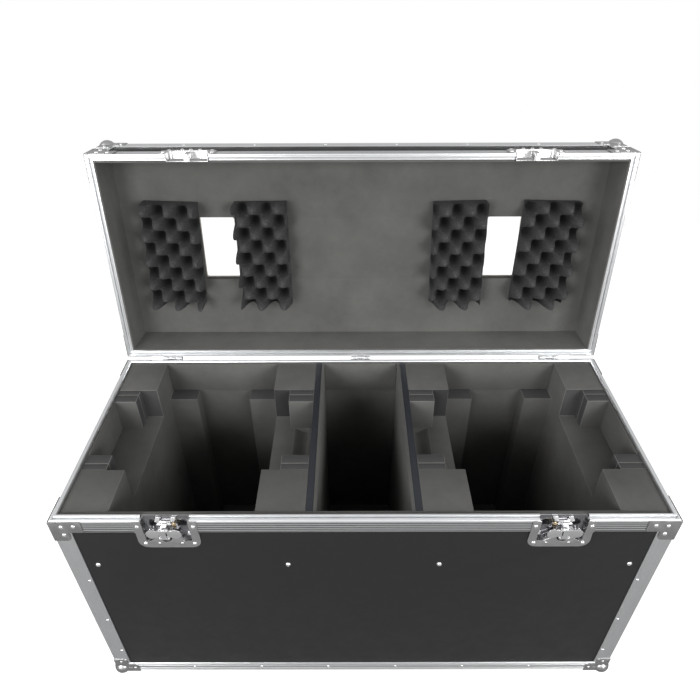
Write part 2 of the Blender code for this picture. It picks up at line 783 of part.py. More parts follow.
def lid_lining(finish, pivot):
    """The lid's lining: a foam ceiling and foam walls that reach down behind the rim."""
    low = BASE_HEIGHT + LID_LEG_TOP + GAP
    high = BASE_HEIGHT + LID_HEIGHT - BOARD_IN - GAP
    ceiling = BASE_HEIGHT + LID_INSIDE_DEPTH
    shell = inset_box("lid_lining", LINING_OUT, low, high)
    join(shell, inset_box("lip", RIM_WIDTH + GAP, BASE_HEIGHT + LID_FOAM_DROP, low + OVERRUN))
    cut(shell, inset_box("hollow", LID_FOAM_INSET, BASE_HEIGHT - OVERRUN, ceiling))
    for side in SIDES.values():
        rise = KEEPER_OPENING_RISE + LATCH_PLATE + LATCH_NOTCH_GAP
        cut(shell, lid_window("window", side), latch_notch("notch", side, 0, rise, DISH_DEPTH + GAP))
    on_lid(shell, finish, pivot)


def egg_crate_height(x, y):
    """How far a pad's foam stands out at a place: rows of rounded peaks, each row shifted by half a pitch."""
    wave = math.cos(2 * math.pi * x / PAD_PITCH_X) * math.cos(2 * math.pi * y / PAD_PITCH_Y)
    return PAD_MIDDLE + PAD_WAVE * wave


def egg_crate_pads(finish, pivot):
    """Four convoluted foam pads glued to the lid's ceiling, two beside each window."""
    columns = round(PAD_WIDTH / PAD_PITCH_X * PAD_SAMPLES)
    rows = round(PAD_LENGTH / PAD_PITCH_Y * PAD_SAMPLES)
    ceiling = BASE_HEIGHT + LID_INSIDE_DEPTH - GAP
    for word, side in SIDES.items():
        for place_word, way in (("inner", -1), ("outer", 1)):
            bm = bmesh.new()
            bmesh.ops.create_grid(bm, x_segments=columns, y_segments=rows, size=1 / 2)
            bmesh.ops.scale(bm, verts=bm.verts, vec=(PAD_WIDTH, PAD_LENGTH, 1))
            peaks = list(bm.verts)
            backs = bmesh.ops.extrude_face_region(bm, geom=list(bm.faces))["geom"]
            flat = {v for v in backs if isinstance(v, bmesh.types.BMVert)}
            for vertex in peaks:
                if vertex not in flat:
                    vertex.co.z = -egg_crate_height(vertex.co.x, vertex.co.y)
            bmesh.ops.dissolve_limit(
                bm,
                angle_limit=math.radians(1),
                verts=[v for v in flat],
                edges=[e for e in bm.edges if e.verts[0] in flat and e.verts[1] in flat],
            )
            x = side * (BAY_MIDDLE + way * PAD_SPREAD)
            middle = (x, HALF_DEPTH - PAD_FROM_HINGE - PAD_LENGTH / 2, ceiling)
            bmesh.ops.translate(bm, verts=bm.verts, vec=middle)
            on_lid(object_from(f"{word}_{place_word}_pad", bm, smooth=True), finish, pivot)


def lid_edges(finish, pivot):
    """The lid's corner angles, those round its top, its ball corners and its braces over the rim."""
    low = BASE_HEIGHT + RIM_FACE + GAP
    cage = edge_cage("lid_edge_angles", low, BASE_HEIGHT + LID_HEIGHT, False)
    for sx, sy in corner_places():
        near = BASE_HEIGHT + BRACE_RIM_GAP
        far, leg_end = near + BRACE_ARM_HEIGHT, BASE_HEIGHT + BRACE_LEG_DROP
        join(cage, corner_brace("brace", sx, sy, near, far, low, leg_end))
    on_lid(cage, finish, pivot)


def on_lid(obj, finish, pivot):
    """Hangs a piece, modelled with the lid closed, on the lid's pivot."""
    obj.data.transform(Matrix.Translation(-HINGE_AXIS))
    place(obj, finish)
    obj.parent = pivot
    return obj


def rims(finish, pivot):
    """Both rim extrusions, each in two lengths because the latches interrupt them."""
    place(rim_around("base_rim", base_rim_section()), finish)
    place(rim_between("base_front_rim", base_rim_section()), finish)
    on_lid(rim_around("lid_rim", lid_rim_section()), finish, pivot)
    on_lid(rim_between("lid_front_rim", lid_rim_section()), finish, pivot)


def dish_outline(hand, margin, top):
    """The outline of a latch's opening, wider by a margin, with a scallop for the fingers below the spindle."""
    half = LATCH_OPENING / 2 + margin
    lobe, middle = -DISH_LOBE_DROP - margin, -DISH_MIDDLE_DROP - margin
    radius = DISH_CORNER + margin
    scallop = DISH_SCALLOP_RADIUS + margin
    turn = math.degrees(math.asin((middle + DISH_SCALLOP_DROP) / scallop))
    points = [(-half, top)]
    points += arc((-half + radius, lobe + radius), radius, 180, 270)
    points += [(DISH_SLOPE_TOP, middle)]
    points += arc((-SPINDLE_OFFSET, -DISH_SCALLOP_DROP), scallop, 180 - turn, 360 + turn, 2 * ARC_STEPS)
    points += [(DISH_STEP_TOP, middle), (DISH_STEP_FOOT, lobe)]
    points += arc((half - radius, lobe + radius), radius, 270, 360)
    points += [(half, top)]
    return [(hand * x, z) for x, z in points]


def plate_face(end, sign):
    """The front of a latch plate in side view, stepped from the rim to the board; sign is +1 upwards."""
    proud = -GAP - LATCH_PLATE
    step = RIM_FACE + LATCH_RIM_GAP
    return [
        (proud, sign * LATCH_RIM_GAP),
        (proud, sign * step),
        (proud + LATCH_STEP, sign * (step + LATCH_STEP)),
        (proud + LATCH_STEP, sign * end),
    ]


def stepped_plate(name, outline, end, sign):
    """A pressed plate with a given outline, stepped from the rim's face down to the board's."""
    face = plate_face(end, sign)
    back = [(y + LATCH_PLATE, z) for y, z in reversed(face)]
    half = LATCH_PLATE_WIDTH / 2
    plate = prism(name, face + back, "X", -half, half)
    return combine(plate, [prism("outline", outline, "Y", -OVERRUN, OVERRUN)], "INTERSECT")


def plate_outline(end, sign):
    """A latch plate's outline, with round corners at its far end."""
    half, radius = LATCH_PLATE_WIDTH / 2, LATCH_PLATE_CORNER
    points = [(-half, sign * LATCH_RIM_GAP)]
    points += arc((-half + radius, sign * (end - radius)), radius, 180, 180 + sign * -90)
    points += arc((half - radius, sign * (end - radius)), radius, sign * 90, 0)
    points += [(half, sign * LATCH_RIM_GAP)]
    return points


def dish(name, outline, hollow, end, sign):
    """A stepped plate with a deep dish pressed into it, open at the rim."""
    plate = stepped_plate(name, plate_outline(end, sign), end, sign)
    face = plate_face(end, sign)
    side = face + [(DISH_DEPTH, sign * end), (DISH_DEPTH, sign * LATCH_RIM_GAP)]
    pan = prism("pan", side, "X", -LATCH_OPENING, LATCH_OPENING)
    combine(pan, [prism("outer", outline, "Y", -OVERRUN, DISH_DEPTH + OVERRUN)], "INTERSECT")
    join(plate, pan)
    return cut(plate, prism("hollow", hollow, "Y", -OVERRUN, DISH_DEPTH - LATCH_PLATE))


def latch_dish(name, hand):
    """The base half of a latch: the dish that the spindle, wings and hook work in."""
    outer, opening = dish_outline(hand, LATCH_PLATE, 0), dish_outline(hand, 0, OVERRUN)
    made = dish(name, outer, opening, LATCH_PLATE_DROP, -1)
    bore = JOURNAL_RADIUS + RUNNING_GAP
    return cut(made, cylinder("bore", (-hand * SPINDLE_OFFSET, DISH_DEPTH, -SPINDLE_DROP), "Y", bore, OVERRUN))


def keeper(name):
    """The lid half of a latch: a plate with a well on each side of a middle bar."""
    half = LATCH_OPENING / 2
    rise = KEEPER_OPENING_RISE

    def well(margin, low):
        corner = DISH_CORNER + margin
        top = rise + margin
        points = [(-half - margin, low)] + arc((-half - margin + corner, top - corner), corner, 180, 90)
        return points + arc((half + margin - corner, top - corner), corner, 90, 0) + [(half + margin, low)]

    made = dish(name, well(LATCH_PLATE, 0), well(0, -OVERRUN), KEEPER_RISE, 1)
    bar = KEEPER_BAR_WIDTH / 2
    low, high = (-bar, -GAP, LATCH_RIM_GAP), (bar, DISH_DEPTH - LATCH_PLATE / 2, rise + LATCH_PLATE / 2)
    return join(made, block("bar", low, high))


def spindle_depths():
    """Where the spindle's cam, flange and head lie behind the case's face."""
    cam_back = DISH_DEPTH - LATCH_PLATE - RUNNING_GAP
    cam_front = cam_back - CAM_THICKNESS
    flange_back = cam_front - RUNNING_GAP
    return cam_back, cam_front, flange_back, flange_back - FLANGE_THICKNESS


def wing_axis():
    """How far the wings' pins are from the spindle's middle, and how far behind the case's face."""
    return HEAD_WIDTH / 2 + WING_KNUCKLE_RADIUS + RUNNING_GAP, wing_depth() + WING_THICKNESS / 2


def wing_depth():
    """The front of the wings when they lie flat, just clear of the plate's face."""
    return -GAP - LATCH_PLATE - RUNNING_GAP - WING_THICKNESS


def spindle(name):
    """The latch's spindle: journal, eccentric cam, flange, and the head whose ears hold the wings' pins."""
    cam_back, cam_front, flange_back, flange_front = spindle_depths()
    head_front = wing_depth() - HEAD_PROUD
    z = -SPINDLE_DROP
    journal_back = DISH_DEPTH - GAP
    body = cylinder(
        name, (0, (journal_back + flange_front) / 2, z), "Y", JOURNAL_RADIUS, journal_back - flange_front
    )
    cam = cylinder(
        "cam", (0, (cam_back + cam_front - RUNNING_GAP) / 2, z - CAM_THROW), "Y", CAM_RADIUS,
        cam_back - cam_front + RUNNING_GAP, ROUND_SIDES,
    )
    flange = cylinder(
        "flange", (0, (flange_back + flange_front) / 2, z), "Y", FLANGE_RADIUS, FLANGE_THICKNESS, ROUND_SIDES
    )
    half, tall = HEAD_WIDTH / 2, HEAD_HEIGHT / 2
    post = block("post", (-half, head_front, z - tall), (half, flange_back - SINK, z + tall))
    join(body, cam, flange, post)
    pin_x, pin_y = wing_axis()
    reach = pin_x + WING_KNUCKLE_RADIUS
    for low, high in ((-tall, -tall + HEAD_EAR), (tall - HEAD_EAR, tall)):
        ears = rounded_rectangle((-reach, head_front), (reach, pin_y + WING_KNUCKLE_RADIUS), WING_PIN_RADIUS)
        join(body, prism("ears", ears, "Z", z + low, z + high))
    bore = WING_PIN_RADIUS + RUNNING_GAP
    for x in (-pin_x, pin_x):
        cut(body, cylinder("bore", (x, pin_y, z), "Z", bore, HEAD_HEIGHT + OVERRUN))
    return body


def wing(name, way):
    """One leaf of the butterfly handle, lying flat: a rolled knuckle on its pin and a round blade."""
    pin_x, pin_y = wing_axis()
    z = -SPINDLE_DROP
    knuckle_length = HEAD_HEIGHT - 2 * (HEAD_EAR + RUNNING_GAP)
    body = cylinder(name, (way * pin_x, pin_y, z), "Z", WING_KNUCKLE_RADIUS, knuckle_length)
    pin = cylinder("pin", (way * pin_x, pin_y, z), "Z", WING_PIN_RADIUS, HEAD_HEIGHT)
    centre = WING_REACH - WING_RADIUS
    root = knuckle_length / 2 - WING_THICKNESS
    outline = [(pin_x, -root)] + arc((centre, 0), WING_RADIUS, -90, 90, 2 * ARC_STEPS) + [(pin_x, root)]
    outline = [(way * x, z + dz) for x, dz in outline]
    blade = prism("blade", outline, "Y", wing_depth(), wing_depth() + WING_THICKNESS)
    return join(body, pin, blade)


def hook(name, hand):
    """The hook: a strap driven by the cam in its window, and a bar whose two prongs rise into the keeper."""
    cam_back, cam_front, _, _ = spindle_depths()
    z = -SPINDLE_DROP - CAM_THROW
    window_x = CAM_RADIUS + CAM_THROW + HOOK_SIDE_ROOM
    window_z = CAM_RADIUS + HOOK_LIFT_ROOM
    half_x, half_z = window_x + HOOK_BORDER, window_z + HOOK_BORDER
    corner = half_z - SINK
    bar_low, bar_top, top = z + window_z, -HOOK_BAR_TOP_DROP, -HOOK_TOP_DROP
    outline = arc((-half_x + corner, z - half_z + corner), corner, 180, 270)
    outline += arc((half_x - corner, z - half_z + corner), corner, 270, 360)
    outline += [
        (half_x, bar_low),
        (HOOK_FAR_END, bar_low),
        (HOOK_FAR_END, top),
        (HOOK_FAR_END - HOOK_PRONG_WIDTH, top),
        (HOOK_FAR_END - HOOK_PRONG_WIDTH, bar_top),
        (-HOOK_NEAR_END + HOOK_PRONG_WIDTH, bar_top),
        (-HOOK_NEAR_END + HOOK_PRONG_WIDTH, top),
        (-HOOK_NEAR_END, top),
        (-HOOK_NEAR_END, bar_low),
        (-half_x, bar_low),
    ]
    body = prism(name, [(hand * a, b) for a, b in outline], "Y", cam_front, cam_back)
    for outer in (-HOOK_NEAR_END, HOOK_FAR_END - HOOK_PRONG_WIDTH):
        x = sorted((hand * (outer + RUNNING_GAP), hand * (outer + HOOK_PRONG_WIDTH - RUNNING_GAP)))
        tip = block(
            "tip",
            (x[0], cam_front - HOOK_TIP_REACH, top - HOOK_TIP),
            (x[1], cam_front + SINK, top - RUNNING_GAP),
        )
        join(body, tip)
    window = rounded_rectangle((-window_x, z - window_z), (window_x, z + window_z), window_z - SINK)
    return cut(body, prism("window", window, "Y", cam_front - OVERRUN, cam_back + OVERRUN))


def latches(plate_finish, working_finish, pivot):
    """Two turn latches, left and right handed, each with its keeper on the lid."""
    for word, side in SIDES.items():
        hand = -side
        at = Vector((side * LATCH_X, FRONT, BASE_HEIGHT))
        place(latch_dish(f"{word}_latch_dish", hand), plate_finish, shift=at)
        middle = at + Vector((-hand * SPINDLE_OFFSET, 0, 0))
        axle = middle + Vector((0, 0, -SPINDLE_DROP))
        place(spindle(f"{word}_latch_spindle"), working_finish, shift=middle, about=axle)
        place(hook(f"{word}_latch_hook", hand), working_finish, shift=middle, about=axle)
        pin_x, pin_y = wing_axis()
        for way_word, way in SIDES.items():
            pin = axle + Vector((way * pin_x, pin_y, 0))
            leaf = wing(f"{word}_latch_{way_word}_wing", way)
            place(leaf, working_finish, shift=middle, about=pin)
        plate = keeper(f"{word}_lid_keeper")
        plate.data.transform(Matrix.Translation(at))
        on_lid(plate, plate_finish, pivot)


def hinge_leaf(name, x, sign, notches):
    """A hinge leaf on the back face, its knuckle notched over spans; sign is -1 below the rim and +1 above."""
    face = HALF_DEPTH + GAP
    half = HINGE_WIDTH / 2
    middle = (HINGE_AXIS.y, BASE_HEIGHT)
    tip = BASE_HEIGHT + sign * HINGE_LEAF_LENGTH
    start = math.degrees(math.acos((face + HINGE_LEAF - HINGE_AXIS.y) / KNUCKLE_RADIUS))
    outline = [(face, BASE_HEIGHT), (face, tip), (face + HINGE_LEAF, tip)]
    outline += arc(middle, KNUCKLE_RADIUS, sign * start, -sign * 180, 3 * ARC_STEPS)
    leaf = prism(name, outline, "X", x - half, x + half)
    room = KNUCKLE_RADIUS + KNUCKLE_ROOM
    for low, high in notches:
        z = sorted((BASE_HEIGHT - sign * (room + OVERRUN), BASE_HEIGHT + sign * room))
        cut(leaf, block("notch", (x + low, face - OVERRUN, z[0]), (x + high, HINGE_AXIS.y + OVERRUN, z[1])))
    return leaf


def hinges(finish, pivot):
    """Three hinges on the back, each a base leaf and a lid leaf that carries the pin."""
    third = HINGE_WIDTH / 6
    end = HINGE_WIDTH / 2 + OVERRUN
    for word, x in (("left", -HINGE_X), ("middle", 0), ("right", HINGE_X)):
        middle = (x, HINGE_AXIS.y, BASE_HEIGHT)
        leaf = hinge_leaf(f"{word}_hinge_base_leaf", x, -1, ((-third - RUNNING_GAP, third + RUNNING_GAP),))
        cut(leaf, cylinder("bore", middle, "X", HINGE_PIN_RADIUS + RUNNING_GAP, HINGE_WIDTH + OVERRUN))
        place(leaf, finish)
        leaf = hinge_leaf(f"{word}_hinge_lid_leaf", x, 1, ((-end, -third), (third, end)))
        join(leaf, cylinder("pin", middle, "X", HINGE_PIN_RADIUS, HINGE_WIDTH))
        on_lid(leaf, finish, pivot)


def handle_dish(name, side):
    """A recessed handle's dish in an end board, with a lug on each side for the bail."""
    middle = BASE_HEIGHT - HANDLE_DROP

    def at(inset):
        return side * (HALF_WIDTH - inset)

    def slab(part, length, height, corner, near, far):
        low, high = (-length / 2, middle - height / 2), (length / 2, middle + height / 2)
        outline = rounded_rectangle(low, high, corner)
        x = sorted((at(near), at(far)))
        return prism(part, outline, "X", x[0], x[1])

    back = BOARD_OUT - GAP
    front = back - HANDLE_PLATE
    wall = 2 * HANDLE_PLATE
    corner = HANDLE_PLATE_CORNER
    plate = slab(name, HANDLE_PLATE_LENGTH, HANDLE_PLATE_HEIGHT, corner, front, back)
    length, height = HANDLE_OPENING_LENGTH + wall, HANDLE_OPENING_HEIGHT + wall
    pan = slab("pan", length, height, corner / 2, front, HANDLE_DISH_DEPTH)
    hollow = slab(
        "hollow", HANDLE_OPENING_LENGTH, HANDLE_OPENING_HEIGHT, corner / 2,
        front - OVERRUN, HANDLE_DISH_DEPTH - HANDLE_PLATE,
    )
    cut(join(plate, pan), hollow)
    z = handle_pivot(side).z
    for way in (-1, 1):
        inner = HANDLE_SPAN / 2 + HANDLE_BEND + RUNNING_GAP
        y = sorted((way * inner, way * (HANDLE_OPENING_LENGTH + HANDLE_PLATE) / 2))
        x = sorted((at(front), at(HANDLE_DISH_DEPTH - HANDLE_PLATE / 2)))
        join(plate, block("lug", (x[0], y[0], z - HANDLE_LUG_HALF), (x[1], y[1], z + HANDLE_LUG_HALF)))
    bore = HANDLE_ROD_RADIUS + RUNNING_GAP
    return cut(plate, cylinder("bore", handle_pivot(side), "Y", bore, HANDLE_OPENING_LENGTH))


def handle_pivot(side):
    """The middle of the axis that a handle's bail turns on."""
    top = BASE_HEIGHT - HANDLE_DROP + HANDLE_OPENING_HEIGHT / 2
    return Vector((side * (HALF_WIDTH - HANDLE_PIVOT_INSET), 0, top - HANDLE_PIVOT_MARGIN))


def handle_bail(name, side):
    """A handle's bail hanging down: a bent rod whose ends are its pins, with a thick grip in the middle."""
    pivot = handle_pivot(side)
    low = pivot.z - HANDLE_DROP_LENGTH
    half, bend = HANDLE_SPAN / 2, HANDLE_BEND
    pin_end = HANDLE_OPENING_LENGTH / 2 - RUNNING_GAP
    path = [(-pin_end, pivot.z)]
    path += arc((-half - bend, pivot.z - bend), bend, 90, 0)
    path += arc((-half + bend, low + bend), bend, 180, 270)
    path += arc((half - bend, low + bend), bend, 270, 360)
    path += arc((half + bend, pivot.z - bend), bend, 180, 90)
    path += [(pin_end, pivot.z)]
    rod = bent_rod(name, path, pivot.x, HANDLE_ROD_RADIUS)
    return join(rod, cylinder("grip", (pivot.x, 0, low), "Y", HANDLE_GRIP_RADIUS, HANDLE_GRIP_LENGTH))


def handles(plate_finish, grip_finish):
    """A recessed handle in each end."""
    for word, side in SIDES.items():
        place(handle_dish(f"{word}_handle_dish", side), plate_finish)
        place(handle_bail(f"{word}_handle_bail", side), grip_finish, about=handle_pivot(side))


def castor_plate(name):
    """A castor's top plate with the fixed half of its ball race, bored for the kingpin."""
    half_length, half_width = CASTOR_PLATE_LENGTH / 2, CASTOR_PLATE_WIDTH / 2
    outline = rounded_rectangle((-half_length, -half_width), (half_length, half_width), CASTOR_PLATE_CORNER)
    plate = prism(name, outline, "Z", -GAP - CASTOR_PLATE, -GAP)
    low = -GAP - CASTOR_PLATE - RACE_HEIGHT
    middle = (0, 0, (low - GAP - CASTOR_PLATE + SINK) / 2)
    race = cylinder("race", middle, "Z", RACE_RADIUS, RACE_HEIGHT + SINK, ROUND_SIDES)
    bore = cylinder("bore", (0, 0, low), "Z", KINGPIN_RADIUS + RUNNING_GAP, 2 * RACE_HEIGHT)
    return cut(join(plate, race), bore)


def wheel_axis_drop():
    """How far a castor's axle is below its plate's top, with a flat of the wheel on the floor."""
    return CASTOR_HEIGHT - WHEEL_RADIUS * math.cos(math.pi / WHEEL_SIDES)


def castor_fork(name):
    """A castor's fork, turned to trail along +X: head, kingpin, two legs and the axle bolt."""
    top = -GAP - CASTOR_PLATE - RACE_HEIGHT - RUNNING_GAP
    head = cylinder(name, (0, 0, top - FORK_HEAD / 2), "Z", FORK_HEAD_RADIUS, FORK_HEAD, ROUND_SIDES)
    pin_length = RACE_HEIGHT - RUNNING_GAP
    join(head, cylinder("kingpin", (0, 0, top + pin_length / 2 - SINK), "Z", KINGPIN_RADIUS, pin_length + SINK))
    axle_z = -wheel_axis_drop()
    inner = WHEEL_WIDTH / 2 + RUNNING_GAP * 2
    outer = inner + FORK_LEG
    foot = FORK_LEG_FOOT_RADIUS
    half = FORK_LEG_WIDTH / 2
    outline = [(-half, top - FORK_HEAD / 2)]
    outline += arc((CASTOR_TRAIL, axle_z), foot, 200, 380, 2 * ARC_STEPS)
    outline += [(half + FORK_HEAD, top - FORK_HEAD / 2)]
    for way in (-1, 1):
        y = sorted((way * inner, way * outer))
        join(head, prism("leg", outline, "Y", y[0], y[1]))
    length = 2 * (outer + AXLE_HEAD)
    join(head, cylinder("axle", (CASTOR_TRAIL, 0, axle_z), "Y", AXLE_RADIUS, length))
    for way in (-1, 1):
        middle = way * (outer + AXLE_HEAD / 2 - SINK)
        join(head, cylinder("nut", (CASTOR_TRAIL, middle, axle_z), "Y", AXLE_HEAD_RADIUS, AXLE_HEAD, 6))
    return head


def castor_wheel(name):
    """A castor's wheel: a tread with rounded shoulders on a thinner web, and a wide hub bored for the axle."""
    half = WHEEL_WIDTH / 2
    web = WHEEL_WEB / 2
    bore = AXLE_RADIUS + RUNNING_GAP
    rim = WHEEL_RADIUS - WHEEL_TREAD_DEPTH
    right = [
        (bore, half),
        (WHEEL_HUB_RADIUS, half),
        (WHEEL_HUB_RADIUS + WHEEL_SHOULDER, web),
        (rim - WHEEL_SHOULDER, web),
        (rim, half - WHEEL_SHOULDER / 2),
        (WHEEL_RADIUS - WHEEL_SHOULDER, half - WHEEL_SHOULDER / 2),
        (WHEEL_RADIUS, half - WHEEL_SHOULDER * 3 / 2),
    ]
    left = [(r, -y) for r, y in reversed(right)]
    return turned(name, right + left, WHEEL_SIDES)


def castors(plate_finish, fork_finish, wheel_finish):
    """Four swivel castors under the corners."""
    plate, fork, wheel = castor_plate("plate"), castor_fork("fork"), castor_wheel("wheel")
    for made, finish in ((plate, plate_finish), (fork, fork_finish), (wheel, wheel_finish)):
        made.data.materials.clear()
        made.data.materials.append(finish)
    for depth_word, sy in (("front", -1), ("back", 1)):
        for word, sx in SIDES.items():
            at = Vector((sx * (HALF_WIDTH - CASTOR_INSET_X), sy * (HALF_DEPTH - CASTOR_INSET_Y), 0))
            trail = Vector((-sx * CASTOR_TRAIL, 0, -wheel_axis_drop()))
            turn = Matrix.Rotation(0 if sx < 0 else math.pi, 4, "Z")
            for part, source, spot in (("plate", plate, at), ("fork", fork, at), ("wheel", wheel, at + trail)):
                mesh = source.data.copy()
                mesh.transform(turn)
                copy = bpy.data.objects.new(f"{depth_word}_{word}_castor_{part}", mesh)
                bpy.context.scene.collection.objects.link(copy)
                copy.location = spot
    for made in (plate, fork, wheel):
        bpy.data.objects.remove(made)


def lid_pivot():
    """The empty on the hinge axis that the open lid hangs from."""
    pivot = bpy.data.objects.new("lid_pivot", None)
    bpy.context.scene.collection.objects.link(pivot)
    pivot.location = HINGE_AXIS
    pivot.rotation_euler.x = -LID_OPENING
    return pivot


def main():
    """Builds the case."""
    clear_scene()
    laminate = material("black_laminate", (0.035, 0.035, 0.037), 0.55)
    divider = material("divider_laminate", (0.030, 0.033, 0.045), 0.45)
    aluminium = material("satin_aluminium", (0.80, 0.81, 0.83), 0.32, 1.0)
    foam = material("charcoal_foam", (0.115, 0.115, 0.112), 0.9)
    pad_foam = material("egg_crate_foam", (0.045, 0.045, 0.048), 0.95)
    plated = material("plated_steel", (0.78, 0.78, 0.79), 0.2, 1.0)
    zinc = material("zinc_steel", (0.62, 0.63, 0.65), 0.38, 1.0)
    grip_rubber = material("black_rubber", (0.02, 0.02, 0.02), 0.7)
    tread = material("castor_tread", (0.05, 0.05, 0.055), 0.6)

    pivot = lid_pivot()
    base_edges(aluminium)
    base_boards(laminate)
    wall_lining(foam)
    floor_lining(foam)
    dividers(divider)
    foam_blocks(foam)
    lid_boards(laminate, pivot)
    lid_lining(foam, pivot)
    egg_crate_pads(pad_foam, pivot)
    lid_edges(aluminium, pivot)
    rims(aluminium, pivot)
    latches(plated, plated, pivot)
    hinges(zinc, pivot)
    handles(zinc, grip_rubber)
    castors(zinc, zinc, tread)


main()
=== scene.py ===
"""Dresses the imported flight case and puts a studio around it."""

from __future__ import annotations

import json
import logging
import math
from dataclasses import dataclass, field
from enum import Enum
from itertools import product

import bmesh
import bpy
from mathutils import Matrix, Vector, noise

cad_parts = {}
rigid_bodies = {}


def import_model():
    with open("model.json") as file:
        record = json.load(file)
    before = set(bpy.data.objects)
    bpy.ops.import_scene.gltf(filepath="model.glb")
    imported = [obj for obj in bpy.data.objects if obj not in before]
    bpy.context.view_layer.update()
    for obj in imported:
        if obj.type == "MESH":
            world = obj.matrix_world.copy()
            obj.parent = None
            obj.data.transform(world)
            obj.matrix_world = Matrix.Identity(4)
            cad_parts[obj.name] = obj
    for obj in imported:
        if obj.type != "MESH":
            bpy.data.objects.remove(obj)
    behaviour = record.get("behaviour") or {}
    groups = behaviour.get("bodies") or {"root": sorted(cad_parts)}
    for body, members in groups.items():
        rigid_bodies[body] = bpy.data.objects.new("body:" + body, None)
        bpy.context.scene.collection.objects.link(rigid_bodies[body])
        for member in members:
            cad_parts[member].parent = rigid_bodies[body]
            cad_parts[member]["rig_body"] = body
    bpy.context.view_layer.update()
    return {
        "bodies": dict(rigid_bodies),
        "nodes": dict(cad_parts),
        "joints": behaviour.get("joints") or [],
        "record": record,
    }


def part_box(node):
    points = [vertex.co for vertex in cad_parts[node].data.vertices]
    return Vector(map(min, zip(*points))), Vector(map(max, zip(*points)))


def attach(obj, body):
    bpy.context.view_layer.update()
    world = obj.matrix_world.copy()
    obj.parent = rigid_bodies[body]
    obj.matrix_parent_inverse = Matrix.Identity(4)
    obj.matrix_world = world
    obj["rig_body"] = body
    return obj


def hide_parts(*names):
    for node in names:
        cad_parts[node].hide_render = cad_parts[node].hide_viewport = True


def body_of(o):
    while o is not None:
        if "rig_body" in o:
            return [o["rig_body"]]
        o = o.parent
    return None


log = logging.getLogger("flight_case")

# The case's own sizes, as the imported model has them
HALF_WIDTH = 0.500
HALF_DEPTH = 0.210
FRONT = -HALF_DEPTH
RIM = 0.485
LID_HEIGHT = 0.103
LID_OPENING = math.radians(96.6)
HINGE_AXIS = Vector((0, HALF_DEPTH + 0.005, RIM))
GAP = 0.0003
BOARD_OUT = 0.0018
BOARD_IN = 0.0088
LINING_OUT = 0.0091
LINING_IN = 0.0120
RIM_WIDTH = 0.012
RIM_FACE = 0.028
FRONT_FOAM = 0.020
FLOOR_TOP = 0.0191
FOAM_TOP = RIM - 0.001
SHELF_TOP = RIM - 0.073
LATCH_X = 0.3165
LATCH_NOTCH = 0.039
LID_INSIDE = 0.0815
LID_FOAM_IN = 0.0153
FLOOR_LEVEL = -0.128
PLATE = 0.0012
PLATE_PROUD = GAP + PLATE
BAY_FRONT = FRONT + FRONT_FOAM + GAP
BAY_BACK = HALF_DEPTH - LINING_IN - GAP
OVERRUN = 0.01  # How far a cutter passes the faces that it cuts

BMesh = bmesh.types.BMesh
Socket = bpy.types.NodeSocket
Object = bpy.types.Object
Material = bpy.types.Material
Point2 = tuple[float, float]
Point3 = tuple[float, float, float]
Station = tuple[float, float, float, float]


class Side(Enum):
    """The left and right halves of the case, with the sign of their X."""

    LEFT = -1
    RIGHT = 1

    @property
    def word(self) -> str:
        """The word that the nodes' names start with."""
        return self.name.lower()

    def span(self, first: float, second: float) -> list[float]:
        """Two distances from the case's middle as X on this side, the lower first."""
        return sorted((self.value * first, self.value * second))


class Place(Enum):
    """The bodies whose pieces are modelled in the closed case's coordinates."""

    BASE = "base"
    LID = "lid"

    @property
    def matrix(self) -> Matrix:
        """What carries a piece from the closed case to where it is at rest."""
        if self is Place.BASE:
            return Matrix.Identity(4)
        swing = Matrix.Rotation(-LID_OPENING, 4, "X")
        return Matrix.Translation(HINGE_AXIS) @ swing @ Matrix.Translation(-HINGE_AXIS)


# Outlines


def arc(centre: Point2, radius: float, start: float, end: float, steps: int = 6) -> list[Point2]:
    """Points on an arc.

    Args:
        centre: The arc's centre.
        radius: Its radius.
        start: Its first angle in degrees.
        end: Its last angle in degrees.
        steps: How many chords it has.

    Returns:
        The points from start to end.
    """
    turns = [math.radians(start + (end - start) * i / steps) for i in range(steps + 1)]
    return [(centre[0] + radius * math.cos(t), centre[1] + radius * math.sin(t)) for t in turns]


def softened(points: list[Point2], radius: float, steps: int = 3) -> list[Point2]:
    """A closed outline with its corners rounded.

    Args:
        points: The outline's corners.
        radius: The rounding, which is less on short sides.
        steps: How many chords each corner gets.

    Returns:
        The rounded outline.
    """
    made: list[Point2] = []
    for i, corner in enumerate(points):
        here = Vector(corner)
        before, after = Vector(points[i - 1]) - here, Vector(points[(i + 1) % len(points)]) - here
        turn = before.angle(after)
        reach = min(radius / math.tan(turn / 2), before.length * 0.45, after.length * 0.45)
        start, end = here + before.normalized() * reach, here + after.normalized() * reach
        for k in range(steps + 1):
            s = k / steps
            made.append(tuple(start * (1 - s) ** 2 + here * 2 * s * (1 - s) + end * s * s))
    return made


def rectangle(low: Point2, high: Point2) -> list[Point2]:
    """The corners of a rectangle between two opposite corners."""
    return [low, (high[0], low[1]), high, (low[0], high[1])]


# Meshes


def placed(name: str, data: bpy.types.ID) -> Object:
    """An object of a mesh, light or camera, linked to the scene."""
    made = bpy.data.objects.new(name, data)
    bpy.context.scene.collection.objects.link(made)
    return made


